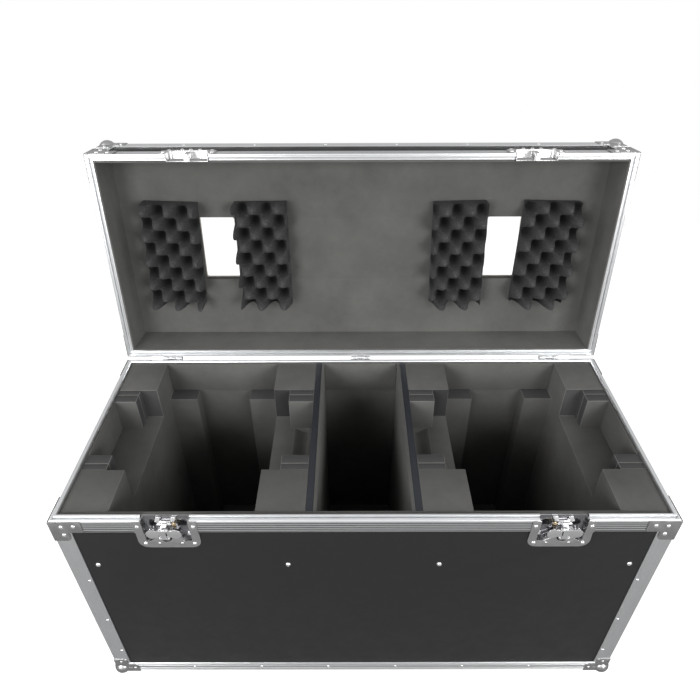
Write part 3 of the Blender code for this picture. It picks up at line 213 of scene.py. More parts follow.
def finished(bm: BMesh, name: str, materials: list[Material], crease: float = 35) -> Object:
    """Makes an object of a bmesh.

    Args:
        bm: The bmesh, which is freed.
        name: The object's name.
        materials: Its materials, by the faces' indices.
        crease: The angle in degrees above which an edge stays sharp.

    Returns:
        The object, linked to the scene.
    """
    bmesh.ops.recalc_face_normals(bm, faces=bm.faces)
    mesh = bpy.data.meshes.new(name)
    bm.to_mesh(mesh)
    bm.free()
    mesh.shade_smooth()
    mesh.set_sharp_from_angle(angle=math.radians(crease))
    for material in materials:
        mesh.materials.append(material)
    return placed(name, mesh)


def solid(outline: list[Point2], axis: str, start: float, end: float) -> BMesh:
    """A closed outline run along an axis.

    Args:
        outline: Points as (y, z), (x, z) or (x, y) for X, Y and Z.
        axis: X, Y or Z.
        start: Where the run begins.
        end: Where it ends.

    Returns:
        The solid as a bmesh.
    """
    bm = bmesh.new()
    lift = {
        "X": lambda p, t: (t, *p),
        "Y": lambda p, t: (p[0], t, p[1]),
        "Z": lambda p, t: (*p, t),
    }[axis]
    face = bm.faces.new([bm.verts.new(lift(p, start)) for p in outline])
    run = bmesh.ops.extrude_face_region(bm, geom=[face])["geom"]
    moved = [v for v in run if isinstance(v, bmesh.types.BMVert)]
    bmesh.ops.translate(bm, verts=moved, vec=lift((0, 0), end - start))
    bmesh.ops.recalc_face_normals(bm, faces=bm.faces)
    return bm


def rounded_edges(bm: BMesh, width: float, segments: int = 2, angle: float = 40) -> BMesh:
    """Bevels every edge of a bmesh that is sharper than an angle in degrees."""
    least = math.radians(angle)
    sharp = [e for e in bm.edges if len(e.link_faces) == 2 and e.calc_face_angle() > least]
    bmesh.ops.bevel(
        bm, geom=sharp, offset=width, affect="EDGES", segments=segments, profile=0.5, material=-1,
        clamp_overlap=True,
    )
    return bm


def box(low: Point3, high: Point3, rounding: float = 0.0, segments: int = 2) -> BMesh:
    """A block between two corners, with rounded edges if asked."""
    bm = solid(rectangle(low[:2], high[:2]), "Z", low[2], high[2])
    return rounded_edges(bm, rounding, segments) if rounding else bm


def lathe(profile: list[Point2], sides: int = 24) -> BMesh:
    """A profile of (radius, height) points, from axis to axis, turned about Z."""
    bm = bmesh.new()
    rings = []
    for radius, height in profile:
        if radius < 1e-7:
            rings.append([bm.verts.new((0, 0, height))])
            continue
        turns = [2 * math.pi * k / sides for k in range(sides)]
        spots = [(radius * math.cos(t), radius * math.sin(t), height) for t in turns]
        rings.append([bm.verts.new(spot) for spot in spots])
    for ring, following in zip(rings, rings[1:]):
        for k in range(sides):
            j = (k + 1) % sides
            near, far = len(ring), len(following)
            spots = [ring[k % near], ring[j % near], following[j % far], following[k % far]]
            unique = list(dict.fromkeys(spots))
            if len(unique) > 2:
                bm.faces.new(unique)
    return bm


def stamped(target: BMesh, stamp: BMesh, matrices: list[Matrix] | None = None) -> BMesh:
    """Adds copies of a shape to a bmesh.

    Args:
        target: The bmesh that gets them.
        stamp: The shape, which is freed.
        matrices: Where the copies go, or none for one copy where the shape is.

    Returns:
        The target.
    """
    source = bpy.data.meshes.new("stamp")
    stamp.to_mesh(source)
    stamp.free()
    for matrix in [Matrix.Identity(4)] if matrices is None else matrices:
        copy = source.copy()
        copy.transform(matrix)
        target.from_mesh(copy)
        bpy.data.meshes.remove(copy)
    bpy.data.meshes.remove(source)
    return target


def facing(at: Point3, normal: Point3, turn: float = 0.0) -> Matrix:
    """The matrix that stands a shape modelled along +Z on a surface, turned about the normal."""
    tilt = Vector((0, 0, 1)).rotation_difference(Vector(normal)).to_matrix().to_4x4()
    return Matrix.Translation(at) @ tilt @ Matrix.Rotation(turn, 4, "Z")


def combined(first: BMesh, others: list[BMesh], operation: str) -> BMesh:
    """The union of solids, or their difference.

    Args:
        first: The solid that is kept.
        others: The solids joined to it or cut from it.
        operation: UNION or DIFFERENCE.

    Returns:
        The result as a bmesh.
    """
    def scratch(bm: BMesh) -> Object:
        """An object of a bmesh, for a modifier to work on."""
        bmesh.ops.recalc_face_normals(bm, faces=bm.faces)
        mesh = bpy.data.meshes.new("scratch")
        bm.to_mesh(mesh)
        bm.free()
        return placed("scratch", mesh)

    body = scratch(first)
    for other in others:
        tool = scratch(other)
        modifier = body.modifiers.new("combine", "BOOLEAN")
        modifier.operation, modifier.solver, modifier.object = operation, "EXACT", tool
        graph = bpy.context.evaluated_depsgraph_get()
        mesh = bpy.data.meshes.new_from_object(body.evaluated_get(graph))
        body.modifiers.clear()
        body.data = mesh
        bpy.data.objects.remove(tool)
    bm = bmesh.new()
    bm.from_mesh(body.data)
    bpy.data.objects.remove(body)
    bmesh.ops.dissolve_limit(bm, angle_limit=math.radians(0.5), verts=bm.verts, edges=bm.edges)
    return bm


def swept(section: list[Point2], stations: list[Station], closed: bool = False) -> BMesh:
    """Carries a section along stations in plan.

    Args:
        section: Points as (inset, height).
        stations: Places as (x, y, inward x, inward y); at a corner both point inwards, as a mitre.
        closed: Whether the last station joins the first.

    Returns:
        The rail as a bmesh.
    """
    bm = bmesh.new()
    rings = [
        [bm.verts.new((x + ix * a, y + iy * a, z)) for a, z in section] for x, y, ix, iy in stations
    ]
    following_rings = rings[1:] + rings[:1] if closed else rings[1:]
    for ring, following in zip(rings, following_rings):
        for i, vertex in enumerate(ring):
            j = (i + 1) % len(ring)
            bm.faces.new((vertex, ring[j], following[j], following[i]))
    if not closed:
        bm.faces.new(rings[0])
        bm.faces.new(rings[-1])
    return bm


def to_corners(level: float, way: int) -> list[Matrix]:
    """The matrices that carry a shape whose axes point inwards from a corner to the four corners.

    Args:
        level: The height of the shape's origin.
        way: Whether its third axis points up, +1, or down, -1.

    Returns:
        The four matrices.
    """
    made = []
    for sy, sx in product((-1, 1), repeat=2):
        corner = Matrix.Translation((sx * HALF_WIDTH, sy * HALF_DEPTH, level))
        made.append(corner @ Matrix.Diagonal((-sx, -sy, way, 1)))
    return made


@dataclass
class Assembly:
    """A part of the case that makes its own pieces and hands them to the body that carries them.

    Attributes:
        paint: The finishes, by name.
    """

    paint: "Paint"

    def add(
        self, bm: BMesh, name: str, *finishes: str, place: Place = Place.BASE,
        replaces: tuple[str, ...] = (), crease: float = 35, soft: bool = False,
    ) -> None:
        """Finishes a piece and hands it to the body that carries it.

        Args:
            bm: Its mesh in the closed case's coordinates.
            name: Its name.
            finishes: The names of its finishes, by the faces' indices.
            place: The body it rides on.
            replaces: The nodes that it stands for.
            crease: The angle in degrees above which its edges stay sharp.
            soft: Whether it is solid foam; it is not used.
        """
        bmesh.ops.transform(bm, matrix=place.matrix, verts=bm.verts)
        piece = finished(bm, name, [self.paint[finish] for finish in finishes], crease)
        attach(piece, place.value)
        if replaces:
            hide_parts(*replaces)


# Finishes


class Graph:
    """A node tree, with short calls for the nodes that the finishes and the studio share."""

    def __init__(self, owner: Material | bpy.types.World, shader: str) -> None:
        """Opens the tree of a material or a world at its shader, which is named."""
        owner.use_nodes = True
        self.tree = owner.node_tree
        self.shader = self.tree.nodes[shader]

    def plug(self, socket: Socket, value: object) -> None:
        """Links an input to a socket or sets its value; a colour is given without its alpha."""
        if isinstance(value, Socket):
            self.tree.links.new(value, socket)
        elif socket.type == "RGBA":
            socket.default_value = (*value, 1)
        else:
            socket.default_value = value

    def node(self, kind: str, output: str, inputs: dict[str, object], **settings: object) -> Socket:
        """Adds a node.

        Args:
            kind: Its type, without the first word.
            output: The output that is wanted.
            inputs: The values or links of its inputs.
            settings: Its settings, which are made before the inputs are looked up.

        Returns:
            The output.
        """
        made = self.tree.nodes.new(f"ShaderNode{kind}")
        for key, value in settings.items():
            setattr(made, key, value)
        for key, value in inputs.items():
            self.plug(made.inputs[key], value)
        return made.outputs[output]

    def coordinates(self, stretch: Point3 = (1, 1, 1)) -> Socket:
        """Texture coordinates with a stretch on each axis."""
        spot = self.node("TexCoord", "Object", {})
        return self.node("Mapping", "Vector", {"Vector": spot, "Scale": stretch})

    def noise(self, vector: Socket, scale: float, detail: float = 3, rough: float = 0.5) -> Socket:
        """A noise texture's value."""
        inputs = {"Vector": vector, "Scale": scale, "Detail": detail, "Roughness": rough}
        return self.node("TexNoise", "Fac", inputs)

    def ramp(self, value: Socket, stops: list[tuple[float, Point3]]) -> Socket:
        """Colours by value, from a list of (place, colour)."""
        made = self.tree.nodes.new("ShaderNodeValToRGB")
        elements = made.color_ramp.elements
        while len(elements) < len(stops):
            elements.new(0.5)
        for element, (place, colour) in zip(elements, stops):
            element.position = place
            element.color = (*colour, 1)
        self.plug(made.inputs["Fac"], value)
        return made.outputs["Color"]

    def between(
        self, value: Socket, low: float, high: float, start: float = 0.3, end: float = 0.7,
        kind: str = "LINEAR",
    ) -> Socket:
        """Maps a value's range from start to end onto low to high."""
        inputs = {"Value": value, "From Min": start, "From Max": end, "To Min": low, "To Max": high}
        return self.node("MapRange", "Result", inputs, interpolation_type=kind)

    def bump(
        self, height: Socket, strength: float, distance: float, under: Socket | None = None
    ) -> Socket:
        """A bumped normal, over another one if given."""
        inputs = {"Height": height, "Strength": strength, "Distance": distance}
        return self.node("Bump", "Normal", inputs | ({"Normal": under} if under else {}))

    def mixed(self, factor: object, first: object, second: object, **settings: object) -> Socket:
        """The second value where the factor is one, and the first where it is none."""
        return self.node("Mix", "Result", {"Factor": factor, "A": first, "B": second}, **settings)

    def set(self, **values: object) -> None:
        """Sets the shader's inputs; underscores stand for spaces."""
        for key, value in values.items():
            self.plug(self.shader.inputs[key.replace("_", " ")], value)


@dataclass(frozen=True)
class Finish:
    """A finish's colour and roughness; each kind adds its own grain.

    Attributes:
        colour: The linear base colour.
        roughness: The middle of its roughness.
    """

    colour: Point3
    roughness: float

    def shade(self, factor: float) -> Point3:
        """The colour made lighter or darker."""
        return tuple(min(1.0, channel * factor) for channel in self.colour)

    def build(self, name: str) -> Material:
        """Makes the material."""
        material = bpy.data.materials.new(name)
        self.grain(Graph(material, "Principled BSDF"))
        return material

    def grain(self, graph: Graph) -> None:
        """Sets the shader's inputs."""
        raise NotImplementedError


@dataclass(frozen=True)
class DrawnMetal(Finish):
    """Extruded metal with an even, satin face."""

    def grain(self, graph: Graph) -> None:
        """Sets the shader's inputs."""
        cloud = graph.noise(graph.coordinates(), 35, 4)
        graph.set(
            Base_Color=graph.ramp(cloud, [(0.3, self.shade(0.98)), (0.7, self.shade(1.02))]),
            Metallic=1.0,
            Roughness=graph.between(cloud, self.roughness * 0.98, self.roughness * 1.02),
        )


@dataclass(frozen=True)
class PlatedMetal(Finish):
    """Bright plated steel with faint orange peel and finger marks."""

    def grain(self, graph: Graph) -> None:
        """Sets the shader's inputs."""
        spots = graph.coordinates()
        marks = graph.noise(spots, 60, 5, 0.6)
        peel = graph.noise(spots, 260, 2)
        graph.set(
            Base_Color=graph.ramp(marks, [(0.3, self.shade(0.93)), (0.7, self.shade(1.03))]),
            Metallic=1.0,
            Roughness=graph.between(marks, self.roughness * 0.6, self.roughness * 1.5),
            Normal=graph.bump(peel, 0.08, 0.0004),
        )


@dataclass(frozen=True)
class Laminate(Finish):
    """Black phenolic film on plywood, with its fine pebble grain."""

    def grain(self, graph: Graph) -> None:
        """Sets the shader's inputs."""
        spots = graph.coordinates()
        pebble = graph.noise(spots, 850, 2, 0.6)
        cloud = graph.noise(spots, 22, 4, 0.6)
        graph.set(
            Base_Color=graph.ramp(pebble, [(0.35, self.shade(0.80)), (0.70, self.shade(1.25))]),
            Roughness=graph.between(cloud, self.roughness * 0.9, self.roughness * 1.12),
            Specular_IOR_Level=0.22,
            Normal=graph.bump(pebble, 0.35, 0.0004),
        )


@dataclass(frozen=True)
class SheetFoam(Finish):
    """Closed-cell foam: a matt skin with pores, soft clouds and pale scuffs."""

    def grain(self, graph: Graph) -> None:
        """Sets the shader's inputs."""
        spots = graph.coordinates()
        cloud = graph.noise(spots, 9, 10, 0.70)
        pores = graph.noise(spots, 1100, 2, 0.6)
        scuff = graph.noise(graph.coordinates((14, 3, 8)), 5, 6, 0.7)
        tone = graph.ramp(cloud, [(0.30, self.shade(0.78)), (0.72, self.shade(1.24))])
        pale = graph.ramp(scuff, [(0.62, (0, 0, 0)), (0.80, (0.30, 0.30, 0.30))])
        graph.set(
            Base_Color=graph.mixed(pale, tone, self.shade(1.5), data_type="RGBA"),
            Roughness=graph.between(cloud, self.roughness * 0.95, min(1.0, self.roughness * 1.05)),
            Normal=graph.bump(pores, 0.40, 0.0005, graph.bump(cloud, 0.10, 0.004)),
        )


@dataclass(frozen=True)
class CellFoam(Finish):
    """Open-cell acoustic foam: coarse dark pores with lighter rims, with painted shade down in its
    valleys.
    """

    VALLEY = ((0.22, 0.05), (0.55, 0.72), (0.95, 1.0))

    def grain(self, graph: Graph) -> None:
        """Sets the shader's inputs."""
        spots = graph.coordinates()
        pores = graph.node("TexVoronoi", "Distance", {"Vector": spots, "Scale": 620})
        grain = graph.noise(spots, 420, 4, 0.7)
        depth = graph.node("Attribute", "Fac", {}, attribute_name="depth")
        speckle = graph.ramp(grain, [(0.36, self.shade(0.50)), (0.66, self.shade(1.70))])
        valley_shade = graph.ramp(depth, [(place, (level,) * 3) for place, level in self.VALLEY])
        graph.set(
            Base_Color=graph.mixed(1.0, speckle, valley_shade, data_type="RGBA", blend_type="MULTIPLY"),
            Roughness=graph.between(grain, self.roughness * 0.95, 1.0),
            Normal=graph.bump(pores, 0.55, 0.0009, graph.bump(grain, 0.5, 0.0012)),
        )


@dataclass(frozen=True)
class Moulded(Finish):
    """Moulded rubber or plastic with a faint grain."""

    def grain(self, graph: Graph) -> None:
        """Sets the shader's inputs."""
        spots = graph.coordinates()
        grain = graph.noise(spots, 500, 3)
        dust = graph.noise(spots, 30, 5, 0.65)
        graph.set(
            Base_Color=graph.ramp(dust, [(0.35, self.shade(0.9)), (0.75, self.shade(1.3))]),
            Roughness=graph.between(dust, self.roughness * 0.9, self.roughness * 1.15),
            Normal=graph.bump(grain, 0.2, 0.0003),
        )


class Paint:
    """All the finishes, made once each and looked up by name."""

    FINISHES: dict[str, Finish] = {
        "aluminium": DrawnMetal((0.75, 0.76, 0.77), 0.28),
        # groove: painted shade, the dark finish in the rims' rib grooves
        "groove": DrawnMetal((0.14, 0.14, 0.15), 0.40),
        "fitting": PlatedMetal((0.43, 0.43, 0.43), 0.28),
        "hinge": PlatedMetal((0.66, 0.67, 0.68), 0.30),
        "laminate": Laminate((0.015, 0.015, 0.016), 0.58),
        "divider": Laminate((0.030, 0.033, 0.040), 0.48),
        "foam": SheetFoam((0.118, 0.117, 0.111), 0.92),
        "cut_foam": SheetFoam((0.060, 0.060, 0.060), 0.94),
        # painted shade: the dark foam on the inner blocks' back notches
        "raw_foam": SheetFoam((0.030, 0.030, 0.031), 0.95),
        # painted highlight: pale foam on the narrow faces that round the blocks' edges
        "worn_foam": SheetFoam((0.165, 0.163, 0.156), 0.94),
        "pad_foam": CellFoam((0.056, 0.056, 0.058), 0.97),
        "plate": PlatedMetal((0.52, 0.52, 0.52), 0.20),
        # dish: painted shade, the darker plating down in the latch dishes
        "dish": PlatedMetal((0.24, 0.24, 0.25), 0.16),
        "chrome": PlatedMetal((0.80, 0.80, 0.81), 0.10),
        "brass": PlatedMetal((0.62, 0.50, 0.33), 0.30),
        "rivet": PlatedMetal((0.82, 0.82, 0.83), 0.18),
        "ply_edge": Moulded((0.78, 0.74, 0.66), 0.80),
        "grip": Moulded((0.018, 0.018, 0.018), 0.68),
        "tread": Moulded((0.030, 0.030, 0.033), 0.62),
    }

    def __init__(self) -> None:
        """Starts with no finish made."""
        self.made: dict[str, Material] = {}

    def __getitem__(self, name: str) -> Material:
        """The material of a finish, made when first asked for."""
        if name not in self.made:
            self.made[name] = self.FINISHES[name].build(name)
        return self.made[name]


# Fixings


class Fixing(Enum):
    """The heads of the case's small fixings, with their height as a share of their radius."""

    RIVET = 0.50
    SCREW = 0.62

    def head(self, radius: float) -> BMesh:
        """The head's shape, standing on z = 0.

        Args:
            radius: The head's radius.

        Returns:
            The head as a bmesh.
        """
        height, foot, steps = radius * self.value, -radius * 0.2, 5
        turns = [math.pi / 2 * k / steps for k in range(steps)]
        curve = [(radius * math.cos(t), height * math.sin(t)) for t in turns]
        head = lathe([(0, foot), (radius, foot)] + curve + [(0, height)], 16)
        if self is not Fixing.SCREW:
            return head
        arm, half, low = radius * 0.62, radius * 0.16, height * 0.45
        slots = [box((-x, -y, low), (x, y, height * 2)) for x, y in ((arm, half), (half, arm))]
        return combined(head, slots, "DIFFERENCE")


@dataclass
class FixingSet:
    """Fixings of one kind and size on one body.

    Attributes:
        kind: Their head.
        radius: The head's radius.
        spots: Where they are, as (point, outward normal).
    """

    TURN = math.radians(23)

    kind: Fixing
    radius: float
    spots: list[tuple[Point3, Point3]] = field(default_factory=list)

    def put(self, at: Point3, normal: Point3) -> None:
        """Adds a fixing at a point of a surface with an outward normal."""
        self.spots.append((at, normal))

    def mesh(self) -> BMesh:
        """All the heads as one bmesh, each turned a little further than the one before."""
        matrices = [facing(at, normal, self.TURN * i) for i, (at, normal) in enumerate(self.spots)]
        return stamped(bmesh.new(), self.kind.head(self.radius), matrices)


# Rims and edges


@dataclass
class Rims(Assembly):
    """The four rim extrusions, with their rounded edges, tongue, rabbet and ribs."""

    RIBS = 5
    RIB_START = 0.0026
    RIB_PITCH = 0.0047
    RIB_DEPTH = 0.0012
    RIB_MOUTH = 0.0008
    RIB_FLOOR = 0.0005
    WALL = 0.0015
    NOSE = 0.0028
    NOSE_INSET = 0.0008
    LIP = 0.0053
    SLOT = (0.0055, 0.0068)
    SLOT_DEPTH = 0.0026
    TONGUE = (0.0070, RIM_WIDTH - 0.0016)
    TONGUE_HEIGHT = 0.004
    TONGUE_CHAMFER = 0.0016
    LEG_DROP = 0.014
    BOARD_DROP = 0.0045
    SEAM = 0.0005
    LID_LIP = 0.0060
    RABBET = (0.0065, 0.0045)
    LID_LEG_RISE = 0.016
    LID_BOARD_RISE = 0.007
    LINE_SPOTS = (0.0030, 0.0096)
    LINE_HALF = 0.0004
    LINE_DEPTH = 0.0006
    SOFTNESS = 0.0007
    LID_SOFTNESS = 0.0006

    def face(self, foot: float, step: int) -> list[Point2]:
        """The ribbed face's points, from the far end of the face towards the rim's edge."""
        points: list[Point2] = []
        depth, mouth, floor = self.RIB_DEPTH, self.RIB_MOUTH, self.RIB_FLOOR
        for i in range(self.RIBS):
            z = foot + step * (self.RIB_START + i * self.RIB_PITCH)
            groove = [(0, z - mouth), (depth, z - floor), (depth, z + floor), (0, z + mouth)]
            points += groove[::step]
        return points

    def line(self, inset: float, level: float) -> list[Point2]:
        """A fine line drawn in a flat of the lid rim's underside."""
        half = self.LINE_HALF
        return [(inset - half, level), (inset, level + self.LINE_DEPTH), (inset + half, level)]

    def base_section(self) -> list[Point2]:
        """The base rim's section as (inset, height)."""
        top, bottom, wall = RIM, RIM - RIM_FACE, self.WALL
        slot, tongue = top - self.SLOT_DEPTH, top + self.TONGUE_HEIGHT
        leg, board = top - self.LEG_DROP, top - self.BOARD_DROP
        body = softened(
            [
                (0, top - self.NOSE), (self.NOSE_INSET, top - self.NOSE_INSET), (self.NOSE, top),
                (self.LIP, top), *((inset, slot) for inset in self.SLOT),
                *((inset, tongue) for inset in self.TONGUE),
                (RIM_WIDTH, top + self.TONGUE_CHAMFER), (RIM_WIDTH, leg), (LINING_OUT, leg),
                (LINING_OUT, board), (wall, board), (wall, bottom), (0, bottom),
            ],
            self.SOFTNESS,
        )
        return body + self.face(bottom, 1)

    def lid_section(self) -> list[Point2]:
        """The lid rim's section as (inset, height), with the lid closed."""
        low, top, wall, (step, rise) = RIM + self.SEAM, RIM + RIM_FACE, self.WALL, self.RABBET
        rabbet, leg, board = RIM + rise, RIM + self.LID_LEG_RISE, RIM + self.LID_BOARD_RISE
        first, second = self.LINE_SPOTS
        body = softened(
            [
                (0, low), *self.line(first, low), (self.LID_LIP, low), (step, rabbet),
                *self.line(second, rabbet), (RIM_WIDTH, rabbet), (RIM_WIDTH, leg),
                (LINING_OUT, leg), (LINING_OUT, board), (wall, board), (wall, top), (0, top),
            ],
            self.LID_SOFTNESS,
        )
        return body + self.face(top, -1)

    @staticmethod
    def around() -> list[Station]:
        """The stations round the ends and the back."""
        end = LATCH_X + LATCH_NOTCH
        return [
            (-end, FRONT, 0, 1), (-HALF_WIDTH, FRONT, 1, 1), (-HALF_WIDTH, HALF_DEPTH, 1, -1),
            (HALF_WIDTH, HALF_DEPTH, -1, -1), (HALF_WIDTH, FRONT, -1, 1), (end, FRONT, 0, 1),
        ]

    @staticmethod
    def between() -> list[Station]:
        """The stations between the latches."""
        end = LATCH_X - LATCH_NOTCH
        return [(-end, FRONT, 0, 1), (end, FRONT, 0, 1)]

    def build(self) -> None:
        """Makes the four lengths."""
        for place, section in ((Place.BASE, self.base_section()), (Place.LID, self.lid_section())):
            for stations, word in ((self.around(), "rim"), (self.between(), "front_rim")):
                bm = swept(section, stations)
                self.mark_grooves(bm, place)
                node, finishes = f"{place.value}_{word}", ("aluminium", "groove")
                self.add(bm, f"{node}_extrusion", *finishes, place=place, replaces=(node,))

    def mark_grooves(self, bm: BMesh, place: Place) -> None:
        """Gives the faces in the grooves the second finish, a painted shade."""
        foot, step = (RIM - RIM_FACE, 1) if place is Place.BASE else (RIM + RIM_FACE, -1)
        start, end = self.RIB_START / 2, self.RIB_START + self.RIBS * self.RIB_PITCH
        for face in bm.faces:
            x, y, z = face.calc_center_median()
            inset = min(HALF_WIDTH - abs(x), y - FRONT, HALF_DEPTH - y)
            sunk = self.RIB_DEPTH / 4 < inset < self.RIB_DEPTH * 1.1
            face.material_index = int(sunk and start < (z - foot) * step < end)


@dataclass
class EdgeAngles(Assembly):
    """The angle extrusions of the corners, the base's underside and the lid's top."""

    WIDTH = 0.030
    WALL = 0.0015
    NOSE = 0.0013
    GROOVES = (0.0042, 0.0100, 0.0200, 0.0258)
    GROOVE_HALF = 0.0008
    GROOVE_DEPTH = 0.0004

    def section(self) -> list[Point2]:
        """The angle's section as (inset, height), its outer faces dipping at each groove."""
        half, depth, wall, width = self.GROOVE_HALF, self.GROOVE_DEPTH, self.WALL, self.WIDTH
        leg: list[Point2] = []
        for spot in self.GROOVES:
            for reach, down in ((-half, 0), (-half / 3, depth), (half / 3, depth), (half, 0)):
                leg.append((spot + reach, down))
        leg += [(width - depth, 0), (width, depth)]
        nose = arc((self.NOSE, self.NOSE), self.NOSE, 180, 270, 4)
        inside = [(width, wall), (wall, wall), (wall, width)]
        return nose + leg + inside + [(b, a) for a, b in reversed(leg)]

    def upright(self, length: float) -> BMesh:
        """A corner's upright angle, its axes pointing inwards from the corner's edge."""
        bm = swept(self.section(), [(0, 0, 0, 1), (length, 0, 0, 1)])
        turn = Matrix(((0, 1, 0, 0), (0, 0, 1, 0), (1, 0, 0, 0), (0, 0, 0, 1)))
        bmesh.ops.transform(bm, matrix=turn, verts=bm.verts)
        return bm

    def cage(self, end: float, rim: float) -> BMesh:
        """The frame round one face of a box and the four uprights from it to the rim."""
        way = 1 if rim > end else -1
        section = [(a, end + way * b) for a, b in self.section()]
        stations = [
            (-HALF_WIDTH, FRONT, 1, 1), (-HALF_WIDTH, HALF_DEPTH, 1, -1),
            (HALF_WIDTH, HALF_DEPTH, -1, -1), (HALF_WIDTH, FRONT, -1, 1),
        ]
        frame = swept(section, stations, closed=True)
        start = self.WIDTH + GAP
        upright = self.upright(abs(rim - end) - start)
        return stamped(frame, upright, to_corners(end + way * start, way))

    def build(self) -> None:
        """Makes the base's and the lid's angles."""
        for place, end, rim in (
            (Place.BASE, 0.0, RIM - RIM_FACE - GAP),
            (Place.LID, RIM + LID_HEIGHT, RIM + RIM_FACE + GAP),
        ):
            name, node = f"{place.value}_edge_extrusions", f"{place.value}_edge_angles"
            cage = self.cage(end, rim)
            self.add(cage, name, "aluminium", place=place, replaces=(node,), crease=25)


@dataclass
class CornerFittings(Assembly):
    """The ball corners with their riveted plates, and the braces over the rims."""

    LEG = 0.045
    LEG_WIDTH = 0.026
    LEG_END = 0.009
    BALL_RADIUS = 0.0165
    BALL_INSET = 0.0085
    BALL_CUT = 0.0008
    SUNK = 0.0004
    RIB_LOW = (0.0225, 0.01225, -PLATE - 0.0007)
    RIB_HIGH = (0.0305, 0.01375, -PLATE + 0.0004)
    BRACE_ARM = 0.051
    BRACE_TOP = 0.001
    BRACE_ARM_HEIGHT = 0.026
    BRACE_LEG_WIDTH = 0.027
    BRACE_LEG_DROP = 0.048
    BRACE_LEG_END = 0.008
    FILLET = 0.004
    PLATE_ROUNDING = 0.0004
    RIB_ROUNDING = 0.0006
    BRACE_ROUNDING = 0.0005

    def plate(self) -> BMesh:
        """A ball corner: three L plates that meet, with their pressed ribs and the ball's dome."""
        leg, width, end, fillet = self.LEG, self.LEG_WIDTH, self.LEG_END, self.FILLET
        outline = [(-PLATE, -PLATE), (leg, -PLATE)] + arc((leg - end, width - end), end, 0, 90)
        outline += arc((width + fillet, width + fillet), fillet, 270, 180)
        outline += arc((width - end, leg - end), end, 0, 90) + [(-PLATE, leg)]
        faces = [solid(outline, axis, -PLATE, self.SUNK) for axis in "XYZ"]
        made = rounded_edges(combined(faces[0], faces[1:], "UNION"), self.PLATE_ROUNDING)
        ball = bmesh.new()
        bmesh.ops.create_uvsphere(ball, u_segments=40, v_segments=24, radius=self.BALL_RADIUS)
        bmesh.ops.translate(ball, verts=ball.verts, vec=[self.BALL_INSET] * 3)
        inside = box((self.BALL_CUT,) * 3, (leg,) * 3)
        made = stamped(made, combined(ball, [inside], "DIFFERENCE"))
        turns = []
        for first, second in ((0, 1), (1, 0), (0, 2), (2, 0), (1, 2), (2, 1)):
            rows = [[0.0] * 4 for _ in range(4)]
            rows[first][0] = rows[second][1] = rows[3 - first - second][2] = rows[3][3] = 1.0
            turns.append(Matrix(rows))
        return stamped(made, box(self.RIB_LOW, self.RIB_HIGH, self.RIB_ROUNDING), turns)

    def brace(self) -> BMesh:
        """A brace round a corner of the rim, with an arm and a leg on each face."""
        near, far = self.BRACE_TOP, self.BRACE_TOP + self.BRACE_ARM_HEIGHT
        arm, width, drop = self.BRACE_ARM, self.BRACE_LEG_WIDTH, self.BRACE_LEG_DROP
        fillet, end = self.FILLET, self.BRACE_LEG_END
        outline = [(-PLATE_PROUD, near), (arm, near)]
        outline += arc((arm - fillet, far - fillet), fillet, 0, 90)
        outline += arc((width + fillet, far + fillet), fillet, 270, 180)
        outline += arc((width - end, drop - end), end, 0, 90) + [(-PLATE_PROUD, drop)]
        sides = [solid(outline, axis, -PLATE_PROUD, -GAP) for axis in "XY"]
        return rounded_edges(combined(sides[0], sides[1:], "UNION"), self.BRACE_ROUNDING)

    def build(self) -> None:
        """Makes the fittings of the base and the lid."""
        for place, end, way in ((Place.BASE, 0.0, 1), (Place.LID, RIM + LID_HEIGHT, -1)):
            for name, shape, level, facing_way in (
                ("ball_corners", self.plate(), end, way),
                ("rim_braces", self.brace(), RIM, -way),
            ):
                four = stamped(bmesh.new(), shape, to_corners(level, facing_way))
                self.add(four, f"{place.value}_{name}", "fitting", place=place, crease=30)


# Foam


@dataclass(frozen=True)
class BlockCut:
    """How the foam blocks along one side of each lamp bay were cut.

    Attributes:
        word: Which side of the bay they are on.
        wall: How far from the case's middle their face against the end or the divider is.
        toward: The sign of the way from there into the bay.
        post: The width of the posts.
        shoulder: The width of the narrow shoulders.
        strip: How much wider than the posts the back strip is.
    """

    word: str
    wall: float
    toward: int
    post: float
    shoulder: float
    strip: float

    def across(self, side: Side, width: float) -> list[float]:
        """X from the wall to a width into the bay, the lower first."""
        return side.span(self.wall, self.wall + self.toward * width)


